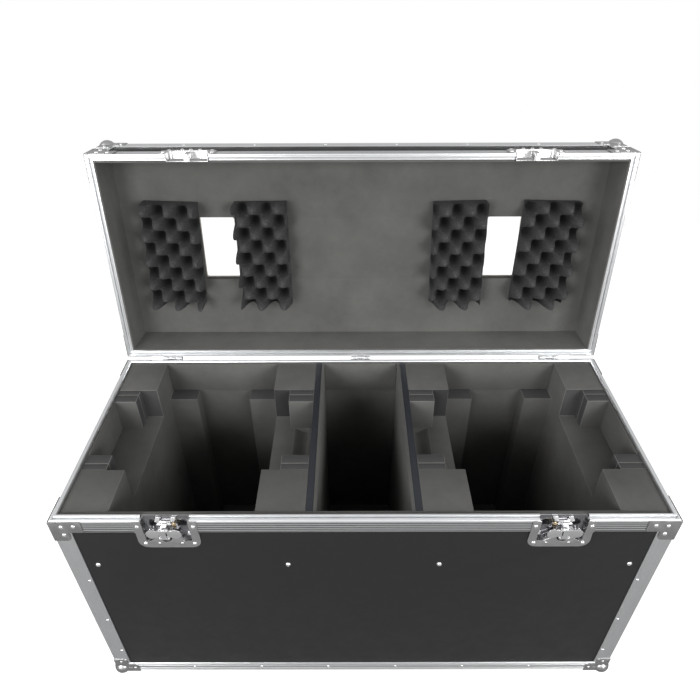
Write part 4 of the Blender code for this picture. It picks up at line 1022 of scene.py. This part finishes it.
@dataclass
class FoamBlocks(Assembly):
    """The four cut foam blocks in the lamp bays."""

    CUTS = (
        BlockCut("outer", HALF_WIDTH - LINING_IN - GAP, -1, 0.0765, 0.044, 0.059),
        BlockCut("inner", 0.0946, 1, 0.081, 0.049, 0.064),
    )
    FINISHES = ("foam", "cut_foam", "raw_foam", "worn_foam")
    SHOULDER_FINISHES = ("cut_foam", "foam", "worn_foam")
    ROUNDING = 0.0009
    POST = 0.088
    STRIP = 0.034
    OVERLAP = 0.001
    SHOULDER = 0.035
    LAYERS = ((0.0002, 0.0145), (0.0147, 0.035))
    LAYER_HEIGHTS = (SHELF_TOP + 0.0002, FOAM_TOP - 0.0006)
    LAYER_ROUNDING = 0.0011
    POCKET_WALL = 0.012
    POCKET_WIDTH = 0.036
    POCKET_HALF = 0.0075
    POCKET_STEPS = 14
    NEAR = 0.002
    FLAT = 0.9
    SLANTED = 0.95

    def block(self, side: Side, cut: BlockCut) -> BMesh:
        """A shelf with two posts and a back strip."""
        low, root = FLOOR_TOP + GAP, SHELF_TOP - self.OVERLAP
        x, wide = cut.across(side, cut.post), cut.across(side, cut.post + cut.strip)
        parts = [
            box((wide[0], BAY_BACK - self.STRIP, low), (wide[1], BAY_BACK, SHELF_TOP)),
            box((x[0], BAY_FRONT, root), (x[1], BAY_FRONT + self.POST, FOAM_TOP)),
            box((x[0], BAY_BACK - self.POST, root), (x[1], BAY_BACK, FOAM_TOP)),
        ]
        return combined(box((x[0], BAY_FRONT, low), (x[1], BAY_BACK, SHELF_TOP)), parts, "UNION")

    def shoulders(self, side: Side, cut: BlockCut) -> BMesh:
        """The narrow shoulders beside the posts, each of two glued layers cut on edge."""
        x, (low, high) = cut.across(side, cut.shoulder), self.LAYER_HEIGHTS
        made = bmesh.new()
        for start, way in ((BAY_FRONT + self.POST, 1), (BAY_BACK - self.POST, -1)):
            for near, far in self.LAYERS:
                y = sorted((start + way * near, start + way * far))
                layer = box((x[0], y[0], low), (x[1], y[1], high), self.LAYER_ROUNDING)
                made = stamped(made, layer)
        return made

    def scoop(self, side: Side, wall: float) -> BMesh:
        """What cuts a hand pocket: upright at its wall, its floor rising smoothly to the shelf."""
        outline = [(side.value * wall, SHELF_TOP + OVERRUN)]
        for i in range(self.POCKET_STEPS + 1):
            share = i / self.POCKET_STEPS
            drop = self.POCKET_HALF * (1 + math.cos(math.pi * share))
            x = side.value * (wall + self.POCKET_WIDTH * share)
            outline.append((x, SHELF_TOP + self.OVERLAP - drop))
        outline.append((side.value * (wall + self.POCKET_WIDTH), SHELF_TOP + OVERRUN))
        inset = self.POST + self.SHOULDER
        return solid(outline, "Y", BAY_FRONT + inset, BAY_BACK - inset)

    def build(self) -> None:
        """Makes the four blocks and their shoulders."""
        for side, cut in product(Side, self.CUTS):
            node = f"{side.word}_{cut.word}_foam"
            made = self.block(side, cut)
            if cut.word == "inner":
                made = combined(made, [self.scoop(side, cut.wall + self.POCKET_WALL)], "DIFFERENCE")
            rounded_edges(made, self.ROUNDING)
            self.mark_sawn(made, cut)
            self.add(made, f"{node}_block", *self.FINISHES, replaces=(node,), soft=True)
            layers = self.shoulders(side, cut)
            layers.normal_update()
            for face in layers.faces:
                glued = "foam" if abs(face.normal.y) > self.FLAT else "cut_foam"
                # painted highlight on the narrow faces that round the layers' edges
                finish = "worn_foam" if self.worn(face) else glued
                face.material_index = self.SHOULDER_FINISHES.index(finish)
            self.add(layers, f"{node}_shoulders", *self.SHOULDER_FINISHES, soft=True)

    @classmethod
    def worn(cls, face: bmesh.types.BMFace) -> bool:
        """Whether a face is one of the narrow ones that round an edge."""
        slanted = max(abs(part) for part in face.normal) < cls.SLANTED
        longest = max(edge.calc_length() for edge in face.edges)
        return slanted and face.calc_area() < cls.NEAR * longest

    def mark_sawn(self, bm: BMesh, cut: BlockCut) -> None:
        """Gives a block's sawn faces and its back notch their own finishes, with painted shade on
        an inner block's notch and a painted highlight on the narrow faces that round its edges.

        Args:
            bm: The block.
            cut: How it was cut.
        """
        near, flat, free = self.NEAR, self.FLAT, cut.wall + cut.toward * cut.post
        strip_front = BAY_BACK - self.STRIP - near
        bm.normal_update()
        for face in bm.faces:
            spot, normal = face.calc_center_median(), face.normal
            raised = spot.z > SHELF_TOP + near
            side = raised and abs(normal.x) > flat
            notch = raised and abs(normal.y) > flat and abs(spot.y - (BAY_BACK - self.POST)) < near
            on_top = normal.z > flat and abs(spot.z - SHELF_TOP) < 2 * near and not raised
            strip = on_top and spot.y > strip_front and abs(abs(spot.x) - free) > near
            # painted highlight on the narrow faces that round the edges
            if spot.z > SHELF_TOP - OVERRUN and self.worn(face):
                finish = "worn_foam"
            elif notch:
                # painted shade: an inner block's notch is darker than the same notch on an outer
                # block
                finish = "raw_foam" if cut.word == "inner" else "cut_foam"
            else:
                finish = "cut_foam" if side or strip else "foam"
            face.material_index = self.FINISHES.index(finish)


@dataclass
class Linings(Assembly):
    """The base's and lid's glued foam sheets."""

    ROUNDING = 0.0006
    BAY_FACE = (0.077, 0.0825)
    BAY_OVERLAP = 0.001
    NOTCH_DEPTH = 0.0138
    NOTCH_DROP = 0.055
    NOTCH_RISE = 0.027
    HANDLE_X = (0.51, 0.4834)
    HANDLE_Y = 0.0708
    HANDLE_Z = (0.2722, 0.3578)
    LIP = 0.0026
    LIP_FOOT = 0.0004
    CENTRE_LIP = 0.0765
    END_LIP = (-0.0664, 0.0744)
    BACK_LIP = (0.1760, 0.4108)
    LID_FOOT = 0.0163
    LID_LEG_FOOT = 0.003

    def build(self) -> None:
        """Makes the linings."""
        self.walls()
        self.floor()
        self.lid()

    @staticmethod
    def inset(amount: float, low: float, high: float) -> BMesh:
        """A block inside the case's outline by an amount, between two heights."""
        x, y = HALF_WIDTH - amount, HALF_DEPTH - amount
        return box((-x, -y, low), (x, y, high))

    def notch(self, side: Side, low: float, high: float) -> BMesh:
        """What cuts room for a latch or its keeper, between two heights."""
        x, depth = side.value * LATCH_X, FRONT + self.NOTCH_DEPTH
        return box((x - LATCH_NOTCH, FRONT - OVERRUN, low), (x + LATCH_NOTCH, depth, high))

    def walls(self) -> None:
        """The base's four walls and the two faces of the centre bay."""
        low, leg, front = LINING_OUT, RIM - Rims.LEG_DROP - GAP, FRONT + FRONT_FOAM
        in_x, in_y = HALF_WIDTH - LINING_IN, HALF_DEPTH - LINING_IN
        hollow = box((-in_x, front, low - OVERRUN), (in_x, in_y, leg + OVERRUN))
        ring = combined(self.inset(LINING_OUT, low, leg), [hollow], "DIFFERENCE")
        rim = HALF_WIDTH - RIM_WIDTH - GAP
        joined = [box((-rim, FRONT + RIM_WIDTH + GAP, leg - OVERRUN), (rim, front, FOAM_TOP))]
        notches, dishes = [], []
        for side in Side:
            x = side.span(*self.BAY_FACE)
            start = (x[0], front - self.BAY_OVERLAP, FLOOR_TOP + GAP)
            joined.append(box(start, (x[1], in_y - GAP, FOAM_TOP)))
            notches.append(self.notch(side, RIM - self.NOTCH_DROP, RIM + OVERRUN))
            x, y, (foot, head) = side.span(*self.HANDLE_X), self.HANDLE_Y, self.HANDLE_Z
            dishes.append(box((x[0], -y, foot), (x[1], y, head)))
        ring = combined(ring, joined, "UNION")
        ring = combined(ring, notches + dishes, "DIFFERENCE")
        rounded_edges(ring, self.ROUNDING)
        for low_corner, high_corner in self.lips():
            ring = stamped(ring, box(low_corner, high_corner, self.ROUNDING))
        self.add(ring, "base_wall_foam", "foam", replaces=("base_wall_lining",), soft=True)

    def lips(self) -> list[tuple[Point3, Point3]]:
        """The sheet edges that cover the rim's inner leg between the foam blocks."""
        wall, foot = HALF_WIDTH - RIM_WIDTH - GAP, SHELF_TOP + self.LIP_FOOT
        near = BAY_BACK - self.LIP
        made = [((-self.CENTRE_LIP, near, SHELF_TOP), (self.CENTRE_LIP, BAY_BACK, FOAM_TOP))]
        for side in Side:
            x = side.span(wall, wall - self.LIP)
            made.append(((x[0], self.END_LIP[0], foot), (x[1], self.END_LIP[1], FOAM_TOP)))
            x = side.span(*self.BACK_LIP)
            made.append(((x[0], near, foot), (x[1], BAY_BACK, FOAM_TOP)))
        return made

    def floor(self) -> None:
        """The base's floor sheet."""
        x = HALF_WIDTH - LINING_IN - GAP
        sheet = box((-x, BAY_FRONT, LINING_OUT), (x, BAY_BACK, FLOOR_TOP), self.ROUNDING)
        self.add(sheet, "base_floor_foam", "foam", replaces=("base_floor_lining",), soft=True)

    def lid(self) -> None:
        """The lid's ceiling and walls, with its two windows."""
        low, high = RIM + self.LID_FOOT, RIM + LID_HEIGHT - BOARD_IN - GAP
        leg = self.inset(RIM_WIDTH + GAP, RIM + self.LID_LEG_FOOT, low + OVERRUN)
        shell = combined(self.inset(LINING_OUT, low, high), [leg], "UNION")
        cuts = [self.inset(LID_FOAM_IN, RIM - OVERRUN, RIM + LID_INSIDE)]
        for side in Side:
            cuts += [LidWindow(side).cutter(), self.notch(side, RIM, RIM + self.NOTCH_RISE)]
        shell = combined(shell, cuts, "DIFFERENCE")
        rounded_edges(shell, self.ROUNDING)
        self.add(shell, "lid_foam", "foam", place=Place.LID, replaces=("lid_lining",), soft=True)


@dataclass(frozen=True)
class LidWindow:
    """One of the openings through the lid's top.

    Attributes:
        side: Which half of the lid it is in.
    """

    INNER = 0.258
    OUTER = 0.3315
    NEAR = -0.0692
    FAR = 0.0660
    ROUNDING = 0.005

    side: Side

    def cutter(self) -> BMesh:
        """A solid that cuts the window through the lid's top and its lining."""
        x = self.side.span(self.INNER, self.OUTER)
        outline = softened(rectangle((x[0], self.NEAR), (x[1], self.FAR)), self.ROUNDING, 5)
        return solid(outline, "Z", RIM + LID_INSIDE - OVERRUN, RIM + LID_HEIGHT + OVERRUN)


@dataclass(frozen=True)
class PadCut:
    """How one pad was cut from its sheet and glued in.

    Attributes:
        side: The half of the lid it is in.
        word: Where it is in that half.
        edges: Its left and right edges, from its middle.
        lean: How far its hinge end stands to the right.
        shift: Where the waves start on it.
    """

    side: Side
    word: str
    edges: Point2
    lean: float
    shift: Point2


@dataclass
class EggCratePads(Assembly):
    """The four convoluted foam pads on the lid's ceiling."""

    WIDTH = 0.100
    LENGTH = 0.208
    STEP = 0.002
    EXTRA = 0.010
    MIDDLE = 0.031
    WAVE = 0.026
    FULLNESS = 0.8
    PITCH = (0.048, 0.052)
    LUMP = 0.0008
    LUMP_SCALE = 60
    LUMP_SEED = 31
    SIDE_DEPTH = 0.9
    STARTS = {"inner": 0.1512, "outer": 0.3312}
    HINGE_SPACE = 0.105
    CEILING = RIM + LID_INSIDE - GAP
    CUTS = (
        PadCut(Side.LEFT, "outer", (-0.0550, 0.0535), -0.007, (0.0033, 0.012)),
        PadCut(Side.LEFT, "inner", (-0.0530, 0.0525), 0.002, (-0.0103, 0.006)),
        PadCut(Side.RIGHT, "inner", (-0.0565, 0.0500), 0.004, (0.0136, 0.011)),
        PadCut(Side.RIGHT, "outer", (-0.0535, 0.0575), -0.005, (-0.0230, 0.007)),
    )

    def height(self, x: float, y: float) -> float:
        """How far the foam stands out at a place on a pad."""
        wave = math.cos(2 * math.pi * x / self.PITCH[0]) * math.cos(2 * math.pi * y / self.PITCH[1])
        return self.MIDDLE + self.WAVE * math.copysign(abs(wave) ** self.FULLNESS, wave)

    def pad(self, x: float, y: float, cut: PadCut) -> BMesh:
        """One pad, the middle of its front edge at a place on the ceiling."""
        bm = bmesh.new()
        depth = bm.verts.layers.float.new("depth")
        low, high = cut.edges
        columns = round((high - low) / self.STEP)
        rows = round((self.LENGTH + self.EXTRA) / self.STEP)
        turn = Matrix.Rotation(-cut.lean / self.LENGTH, 2)
        grid = []
        for j in range(rows + 1):
            row = []
            for i in range(columns + 1):
                u, v = low + (high - low) * i / columns, j * self.STEP
                spot = Vector((u * self.LUMP_SCALE, v * self.LUMP_SCALE, x * self.LUMP_SEED))
                lump = self.LUMP * noise.noise(spot)
                height = self.height(u - cut.shift[0], v - self.LENGTH / 2 - cut.shift[1]) + lump
                across, along = turn @ Vector((u, v))
                vertex = bm.verts.new((x + across, y + along, self.CEILING - height))
                # depth sets the painted shade in the pads' valleys
                vertex[depth] = height / (self.MIDDLE + self.WAVE)
                row.append(vertex)
            grid.append(row)
        for j in range(rows):
            for i in range(columns):
                bm.faces.new((grid[j][i], grid[j][i + 1], grid[j + 1][i + 1], grid[j + 1][i]))
        rim = [e for e in bm.edges if e.is_boundary]
        run = bmesh.ops.extrude_edge_only(bm, edges=rim)["geom"]
        for vertex in (v for v in run if isinstance(v, bmesh.types.BMVert)):
            vertex.co.z = self.CEILING
            vertex[depth] = self.SIDE_DEPTH
        bmesh.ops.holes_fill(bm, edges=[e for e in bm.edges if e.is_boundary], sides=0)
        return bm

    def build(self) -> None:
        """Makes the four pads."""
        for cut in self.CUTS:
            x = cut.side.value * (self.STARTS[cut.word] + self.WIDTH / 2)
            bm = self.pad(x, HALF_DEPTH - self.HINGE_SPACE - self.LENGTH, cut)
            node = f"{cut.side.word}_{cut.word}_pad"
            name = f"{node}_foam"
            self.add(bm, name, "pad_foam", place=Place.LID, replaces=(node,), crease=60, soft=True)


# Hardware


@dataclass(frozen=True)
class Refinement:
    """How the nodes with a word in their names are dressed.

    Attributes:
        word: The word.
        finish: The finish that they get.
        rounding: The rounding of their sharp edges.
        suffix: What the dressed piece's name ends with.
        segments: How many faces the rounding has.
    """

    word: str
    finish: str
    rounding: float
    suffix: str
    segments: int = 2

    def mesh(self, node: Object) -> BMesh:
        """A merged copy of a node's mesh with its sharp edges rounded."""
        bm = bmesh.new()
        bm.from_mesh(node.data)
        bmesh.ops.remove_doubles(bm, verts=bm.verts, dist=2e-6)
        bmesh.ops.dissolve_limit(bm, angle_limit=math.radians(0.4), verts=bm.verts, edges=bm.edges)
        return rounded_edges(bm, self.rounding, self.segments, 38)


@dataclass
class Hardware(Assembly):
    """The boards, plates, latches, hinges, handles and castors, dressed from their solids."""

    PLAN = (
        Refinement("board", "laminate", 0.0005, "panel"),
        Refinement("divider", "divider", 0.0008, "panel"),
        Refinement("handle_dish", "fitting", 0.0006, "pressing"),
        Refinement("bail", "grip", 0.0012, "grip"),
        Refinement("castor_plate", "fitting", 0.0005, "pressing"),
        Refinement("castor_fork", "fitting", 0.0006, "pressing"),
        Refinement("castor_wheel", "tread", 0.0012, "moulding"),
        Refinement("hinge", "hinge", 0.0004, "pressing"),
        Refinement("latch_dish", "plate", 0.0005, "pressing"),
        Refinement("keeper", "plate", 0.0005, "pressing"),
        Refinement("spindle", "chrome", 0.0004, "casting"),
        Refinement("wing", "chrome", 0.0004, "casting"),
        Refinement("hook", "chrome", 0.0005, "casting"),
    )

    DISH_DEPTH = 0.004
    WINDOW_X = (0.24, 0.34)
    WINDOW_Y = (-0.09, 0.07)
    EDGE_ON = 0.3

    def build(self, nodes: dict[str, Object]) -> None:
        """Dresses each node that the plan names."""
        for name, node in sorted(nodes.items()):
            for refinement in self.PLAN:
                if refinement.word in name:
                    self.dress(name, node, refinement)

    def dress(self, name: str, node: Object, refinement: Refinement) -> None:
        """Dresses a node.

        Args:
            name: The node's name.
            node: The node.
            refinement: How it is dressed.
        """
        bm = refinement.mesh(node)
        if name == "lid_top_board":
            cutters = [LidWindow(side).cutter() for side in Side]
            for cutter in cutters:
                bmesh.ops.transform(cutter, matrix=Place.LID.matrix, verts=cutter.verts)
            bm = combined(bm, cutters, "DIFFERENCE")
        made = finished(bm, f"{name}_{refinement.suffix}", [self.paint[refinement.finish]], 30)
        if refinement.word == "latch_dish":
            self.darken(made)
        if name == "lid_top_board":
            self.bare_edges(made)
        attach(made, body_of(node)[0])
        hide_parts(name)

    def bare_edges(self, piece: Object) -> None:
        """Leaves the sawn edges of the lid's windows as bare plywood."""
        piece.data.materials.append(self.paint["ply_edge"])
        up, back = Place.LID.matrix.to_3x3() @ Vector((0, 0, 1)), Place.LID.matrix.inverted()
        for polygon in piece.data.polygons:
            inside = self.WINDOW_X[0] < abs(polygon.center.x) < self.WINDOW_X[1]
            edge = abs(polygon.normal.dot(up)) < self.EDGE_ON
            between = self.WINDOW_Y[0] < (back @ polygon.center).y < self.WINDOW_Y[1]
            polygon.material_index = int(inside and edge and between)

    def darken(self, piece: Object) -> None:
        """Gives a latch plate's faces down in its dish the darker dish finish, a painted shade."""
        piece.data.materials.append(self.paint["dish"])
        for polygon in piece.data.polygons:
            polygon.material_index = int(polygon.center.y > FRONT + self.DISH_DEPTH)


@dataclass
class LatchDetails(Assembly):
    """The small parts of the latches, set out from the left latch's middle on the rim's plane."""

    FORWARD = (0, -1, 0)
    STRAP_BACK = 0.0079 - 0.0002
    SPACER = ((0.0085, 0.0045, -0.0225), (0.0155, STRAP_BACK, -0.0135))
    BARS_X = (-0.016, 0.0078)
    BARS_FRONT = 0.0050
    BARS_Z = ((-0.0215, -0.0150), (-0.0118, -0.0080))
    BAR_ROUNDING = 0.0011
    SPACER_ROUNDING = 0.0008
    POST = ((0, 0), (0.0021, 0), (0.0021, 0.0036), (0.0015, 0.0042), (0, 0.0042))
    POST_SPOTS = ((-0.031, 0.0125, -0.0335), (-0.025, 0.0125, -0.0335), (0.031, 0.0125, -0.040))
    DIMPLE = ((0, -0.0003), (0.0030, -0.0003), (0.0026, 0.0006), (0.0015, 0.0012), (0, 0.0014))
    DIMPLE_SPOTS = ((-0.017, GAP, -0.0572), (0.020, GAP, -0.0572))
    BUMP = ((0, -0.0003), (0.0042, -0.0003), (0.0038, 0.0012), (0.0024, 0.0024), (0, 0.0029))
    BUMP_SPOTS = ((-0.016, GAP, 0.0405), (0.0, GAP, 0.0405), (0.017, GAP, 0.0405))

    def turned(self, profile: tuple[Point2, ...], sides: int, spots: tuple[Point3, ...]) -> BMesh:
        """A turned shape that points forward from each of some spots."""
        places = [facing(spot, self.FORWARD) for spot in spots]
        return stamped(bmesh.new(), lathe(profile, sides), places)

    def posts(self) -> BMesh:
        """The upset posts beside the strap and the bright bars across it."""
        made, (left, right) = self.turned(self.POST, 16, self.POST_SPOTS), self.BARS_X
        for low, high in self.BARS_Z:
            start, end = (left, self.BARS_FRONT, low), (right, self.STRAP_BACK, high)
            made = stamped(made, box(start, end, self.BAR_ROUNDING, 3))
        return made

    def build(self) -> None:
        """Makes each latch's details, mirrored for the right one."""
        for side in Side:
            place = Matrix.Translation((side.value * LATCH_X, FRONT, RIM))
            place @= Matrix.Diagonal((-side.value, 1, 1, 1))
            dimples = self.turned(self.DIMPLE, 20, self.DIMPLE_SPOTS)
            bumps = self.turned(self.BUMP, 20, self.BUMP_SPOTS)
            spacer = box(*self.SPACER, self.SPACER_ROUNDING)
            for bm, name, finish, body in (
                (spacer, "latch_spacer", "brass", Place.BASE),
                (self.posts(), "latch_posts", "chrome", Place.BASE),
                (dimples, "latch_dimples", "plate", Place.BASE),
                (bumps, "keeper_bumps", "plate", Place.LID),
            ):
                bmesh.ops.transform(bm, matrix=place, verts=bm.verts)
                self.add(bm, f"{side.word}_{name}", finish, place=body, crease=40)


@dataclass
class FixingsPlan(Assembly):
    """All the rivets and screws, set out by the pieces they hold."""

    WAYS = (-1, 1)
    RIVET = 0.0040
    SMALL = 0.0030
    SCREW = 0.0048
    SCREWS = ((0.128, 0.118), (0.450, 0.118))
    BRACE = ((0.018, 0.013), (0.038, 0.012), (0.018, 0.033))
    DISH = ((0.0445, 0.013, FRONT - PLATE_PROUD), (0.040, 0.058, FRONT + GAP))
    KEEPER = ((0.0445, 0.013, FRONT - PLATE_PROUD), (0.040, 0.037, FRONT + GAP))
    HINGES = (-0.404, 0.0, 0.404)
    HINGE_HALF = 0.0125
    HINGE_SHARES = (0.42, 0.80)
    LEAF = 0.0015
    BALL = (0.0365, 0.013)
    ANGLE_INSET = 0.015
    ANGLE_ROW = (6, 0.1365)
    ANGLE_Y = (-0.095, 0.0, 0.095)
    UPRIGHT_INSET = 0.0236
    UPRIGHT_DROPS = (0.164, 0.292, 0.405)
    HANDLE_INSET = (0.008, 0.007)
    CASTOR_INSET = 0.010
    CASTOR_PLATE = 0.0030

    def build(self) -> None:
        """Makes the fixings of each body."""
        for place in Place:
            sign = -1 if place is Place.BASE else 1
            end = 0.0 if place is Place.BASE else RIM + LID_HEIGHT
            rivets = FixingSet(Fixing.RIVET, self.RIVET)
            self.braces(rivets, sign)
            self.latches(rivets, sign)
            self.hinges(rivets, sign)
            self.add(rivets.mesh(), f"{place.value}_rivets", "rivet", place=place)
            small = FixingSet(Fixing.RIVET, self.SMALL)
            self.ball_plates(small, end, -sign)
            self.angles(small, end, -sign)
            if place is Place.BASE:
                self.uprights(small)
            self.add(small.mesh(), f"{place.value}_small_rivets", "rivet", place=place)
        plates = FixingSet(Fixing.RIVET, self.SMALL)
        self.handles(plates)
        self.castors(plates)
        self.add(plates.mesh(), "plate_rivets", "rivet")
        screws = FixingSet(Fixing.SCREW, self.SCREW)
        for side, (x, down) in product(Side, self.SCREWS):
            screws.put((side.value * x, FRONT + BOARD_OUT, RIM - down), (0, -1, 0))
        self.add(screws.mesh(), "front_screws", "rivet")

    def braces(self, rivets: FixingSet, sign: int) -> None:
        """The rivets of the braces over the rim, below it for -1 and above it for +1."""
        for sx, sy, (along, down) in product(self.WAYS, self.WAYS, self.BRACE):
            z = RIM + sign * down
            rivets.put((sx * (HALF_WIDTH - along), sy * (HALF_DEPTH + PLATE_PROUD), z), (0, sy, 0))
            rivets.put((sx * (HALF_WIDTH + PLATE_PROUD), sy * (HALF_DEPTH - along), z), (sx, 0, 0))

    def latches(self, rivets: FixingSet, sign: int) -> None:
        """The rivets of the latch plates for -1, or of their keepers for +1."""
        spots = self.DISH if sign < 0 else self.KEEPER
        for side, way, (across, along, y) in product(Side, self.WAYS, spots):
            rivets.put((side.value * LATCH_X + way * across, y, RIM + sign * along), (0, -1, 0))

    def hinges(self, rivets: FixingSet, sign: int) -> None:
        """The rivets of the hinge leaves on the back, below the rim for -1 and above it for +1."""
        reach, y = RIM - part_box("middle_hinge_base_leaf")[0].z, HALF_DEPTH + GAP + self.LEAF
        for x, way, share in product(self.HINGES, self.WAYS, self.HINGE_SHARES):
            at = (x + way * self.HINGE_HALF, y, RIM + sign * (reach * share))
            rivets.put(at, (0, 1, 0))

    def ball_plates(self, rivets: FixingSet, end: float, way: int) -> None:
        """Two rivets on each of the three faces of the ball corners at one end of the case."""
        for matrix in to_corners(end, way):
            turn = matrix.to_3x3()
            for axis in range(3):
                others = [i for i in range(3) if i != axis]
                for first, second in (others, others[::-1]):
                    spot, normal = Vector((0, 0, 0)), Vector((0, 0, 0))
                    spot[axis], spot[first], spot[second] = -PLATE, *self.BALL
                    normal[axis] = -1
                    rivets.put(tuple(matrix @ spot), tuple(turn @ normal))

    def angles(self, rivets: FixingSet, end: float, way: int) -> None:
        """The rivets along the angle extrusions round one end of the case."""
        inset, (count, pitch) = self.ANGLE_INSET, self.ANGLE_ROW
        z = end + way * inset
        for sy, i in product(self.WAYS, range(count)):
            x = pitch * (i - (count - 1) / 2)
            rivets.put((x, sy * HALF_DEPTH, z), (0, sy, 0))
            rivets.put((x, sy * (HALF_DEPTH - inset), end), (0, 0, -way))
        for sx, y in product(self.WAYS, self.ANGLE_Y):
            rivets.put((sx * HALF_WIDTH, y, z), (sx, 0, 0))
            rivets.put((sx * (HALF_WIDTH - inset), y, end), (0, 0, -way))

    def uprights(self, rivets: FixingSet) -> None:
        """The rivets down the base's corner angles."""
        inset = self.UPRIGHT_INSET
        for sx, sy, down in product(self.WAYS, self.WAYS, self.UPRIGHT_DROPS):
            rivets.put((sx * (HALF_WIDTH - inset), sy * HALF_DEPTH, RIM - down), (0, sy, 0))
            rivets.put((sx * HALF_WIDTH, sy * (HALF_DEPTH - inset), RIM - down), (sx, 0, 0))

    def handles(self, rivets: FixingSet) -> None:
        """The rivets round the handle dishes' plates."""
        across, down = self.HANDLE_INSET
        for side in Side:
            low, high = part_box(f"{side.word}_handle_dish")
            x = max(abs(low.x), abs(high.x))
            rows = (low.y + across, (low.y + high.y) / 2, high.y - across)
            for y, z in product(rows, (low.z + down, high.z - down)):
                rivets.put((side.value * x, y, z), (side.value, 0, 0))

    def castors(self, rivets: FixingSet) -> None:
        """The bolts of the castor plates."""
        inset = self.CASTOR_INSET
        for depth, side in product(("front", "back"), Side):
            low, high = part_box(f"{depth}_{side.word}_castor_plate")
            for x, y in product((low.x + inset, high.x - inset), (low.y + inset, high.y - inset)):
                rivets.put((x, y, high.z - self.CASTOR_PLATE), (0, 0, -1))


# Studio


@dataclass(frozen=True)
class Softbox:
    """An area light.

    Attributes:
        name: Its name.
        at: Where it is.
        target: What it points at.
        size: Its width and height.
        power: Its power in watts.
    """

    name: str
    at: Point3
    target: Point3
    size: Point2
    power: float

    def build(self) -> None:
        """Puts the light in the scene."""
        light = bpy.data.lights.new(self.name, "AREA")
        light.shape = "RECTANGLE"
        light.size, light.size_y = self.size
        light.energy = self.power
        made = placed(self.name, light)
        made.location = self.at
        ray = Vector(self.target) - Vector(self.at)
        made.rotation_euler = ray.to_track_quat("-Z", "Y").to_euler()


class Studio:
    """The camera of the photograph, a pale floor and soft light."""

    FOCAL_SHARE = 589.99 / 700
    CAMERA_AT = (-0.02083, FRONT - 0.58761, RIM + 0.76762)
    YAW, PITCH, ROLL = (math.radians(angle) for angle in (0.107, 36.41, -0.205))
    LIGHTS = (
        Softbox("left_key_softbox", (-1.7, -2.9, 1.60), (0.0, 0.0, 0.6), (1.4, 1.9), 75),
        Softbox("right_key_softbox", (1.8, -2.9, 1.60), (0.0, 0.0, 0.6), (1.4, 1.9), 69),
        Softbox("left_softbox", (-2.4, -0.4, 2.3), (0.0, 0.0, 0.5), (1.2, 1.6), 22),
        Softbox("right_softbox", (2.4, -0.4, 2.3), (0.0, 0.0, 0.5), (1.2, 1.6), 20),
    )
    FLOOR_REACH = 2.2
    FLOOR_SPACE = 0.0005
    FLOOR_DEPTH = 0.01

    def build(self) -> None:
        """Sets up the camera, floor, lights and world."""
        self.camera()
        self.floor()
        self.world()
        for light in self.LIGHTS:
            light.build()
        bpy.context.scene.view_settings.view_transform = "Standard"

    def camera(self) -> None:
        """The camera at the photograph's place."""
        data = bpy.data.cameras.new("camera")
        data.sensor_width = 36
        data.lens = data.sensor_width * self.FOCAL_SHARE
        data.clip_end = 100
        cy, cp, cr = (math.cos(angle) for angle in (self.YAW, self.PITCH, self.ROLL))
        sy, sp, sr = (math.sin(angle) for angle in (self.YAW, self.PITCH, self.ROLL))
        right, ahead = Vector((cy, sy, 0)), Vector((-sy * cp, cy * cp, -sp))
        up = Vector((-sy * sp, cy * sp, cp))
        across, upright = right * cr + up * sr, up * cr - right * sr
        frame = Matrix((across, upright, -ahead)).transposed().to_4x4()
        made = placed("camera", data)
        made.matrix_world = Matrix.Translation(self.CAMERA_AT) @ frame
        bpy.context.scene.camera = made

    def floor(self) -> None:
        """A wide floor that is white to the camera and pale to everything else."""
        reach = self.FLOOR_REACH
        square, top = rectangle((-reach, -reach), (reach, reach)), FLOOR_LEVEL - self.FLOOR_SPACE
        bm = solid(square, "Z", FLOOR_LEVEL - self.FLOOR_DEPTH, top)
        material = bpy.data.materials.new("studio_floor")
        graph = Graph(material, "Principled BSDF")
        seen = graph.node("LightPath", "Is Camera Ray", {})
        graph.set(
            Base_Color=(0.42, 0.42, 0.42), Roughness=0.9, Emission_Color=(1.0, 1.0, 1.0),
            Emission_Strength=graph.between(seen, 0.0, 1.0, 0, 1),
        )
        finished(bm, "studio_floor", [material])

    def world(self) -> None:
        """White to the camera, brighter in front than behind to metal, and dim to the rest."""
        world = bpy.data.worlds.new("studio")
        bpy.context.scene.world = world
        graph = Graph(world, "Background")
        spot = graph.node("TexCoord", "Generated", {})

        def sky(axis: str, start: float, end: float, low: float, high: float) -> Socket:
            """A brightness that changes along an axis of the direction, from start to end."""
            along = graph.node("SeparateXYZ", axis, {"Vector": spot})
            return graph.between(along, low, high, start, end, "SMOOTHSTEP")

        below, above = sky("Y", -0.9, -0.2, 0.75, 0.45), sky("Y", -0.5, 0.5, 1.08, 0.72)
        shown = graph.mixed(sky("Z", -0.1, 0.5, 0.0, 1.0), below, above)
        glossy = graph.node("LightPath", "Is Glossy Ray", {})
        seen = graph.node("LightPath", "Is Camera Ray", {})
        level = graph.mixed(glossy, sky("Z", -0.35, 0.6, 0.04, 0.15), shown)
        graph.set(Color=(1, 1, 1), Strength=graph.mixed(seen, level, 1.0))


def main() -> None:
    """Builds the dressed case and its studio."""
    logging.basicConfig(level=logging.INFO)
    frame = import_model()
    paint = Paint()
    Studio().build()
    Hardware(paint).build(frame["nodes"])
    for assembly in (
        Rims, EdgeAngles, CornerFittings, Linings, FoamBlocks, EggCratePads, LatchDetails,
        FixingsPlan,
    ):
        log.info("building %s", assembly.__name__)
        assembly(paint).build()


if __name__ == "__main__":
    main()
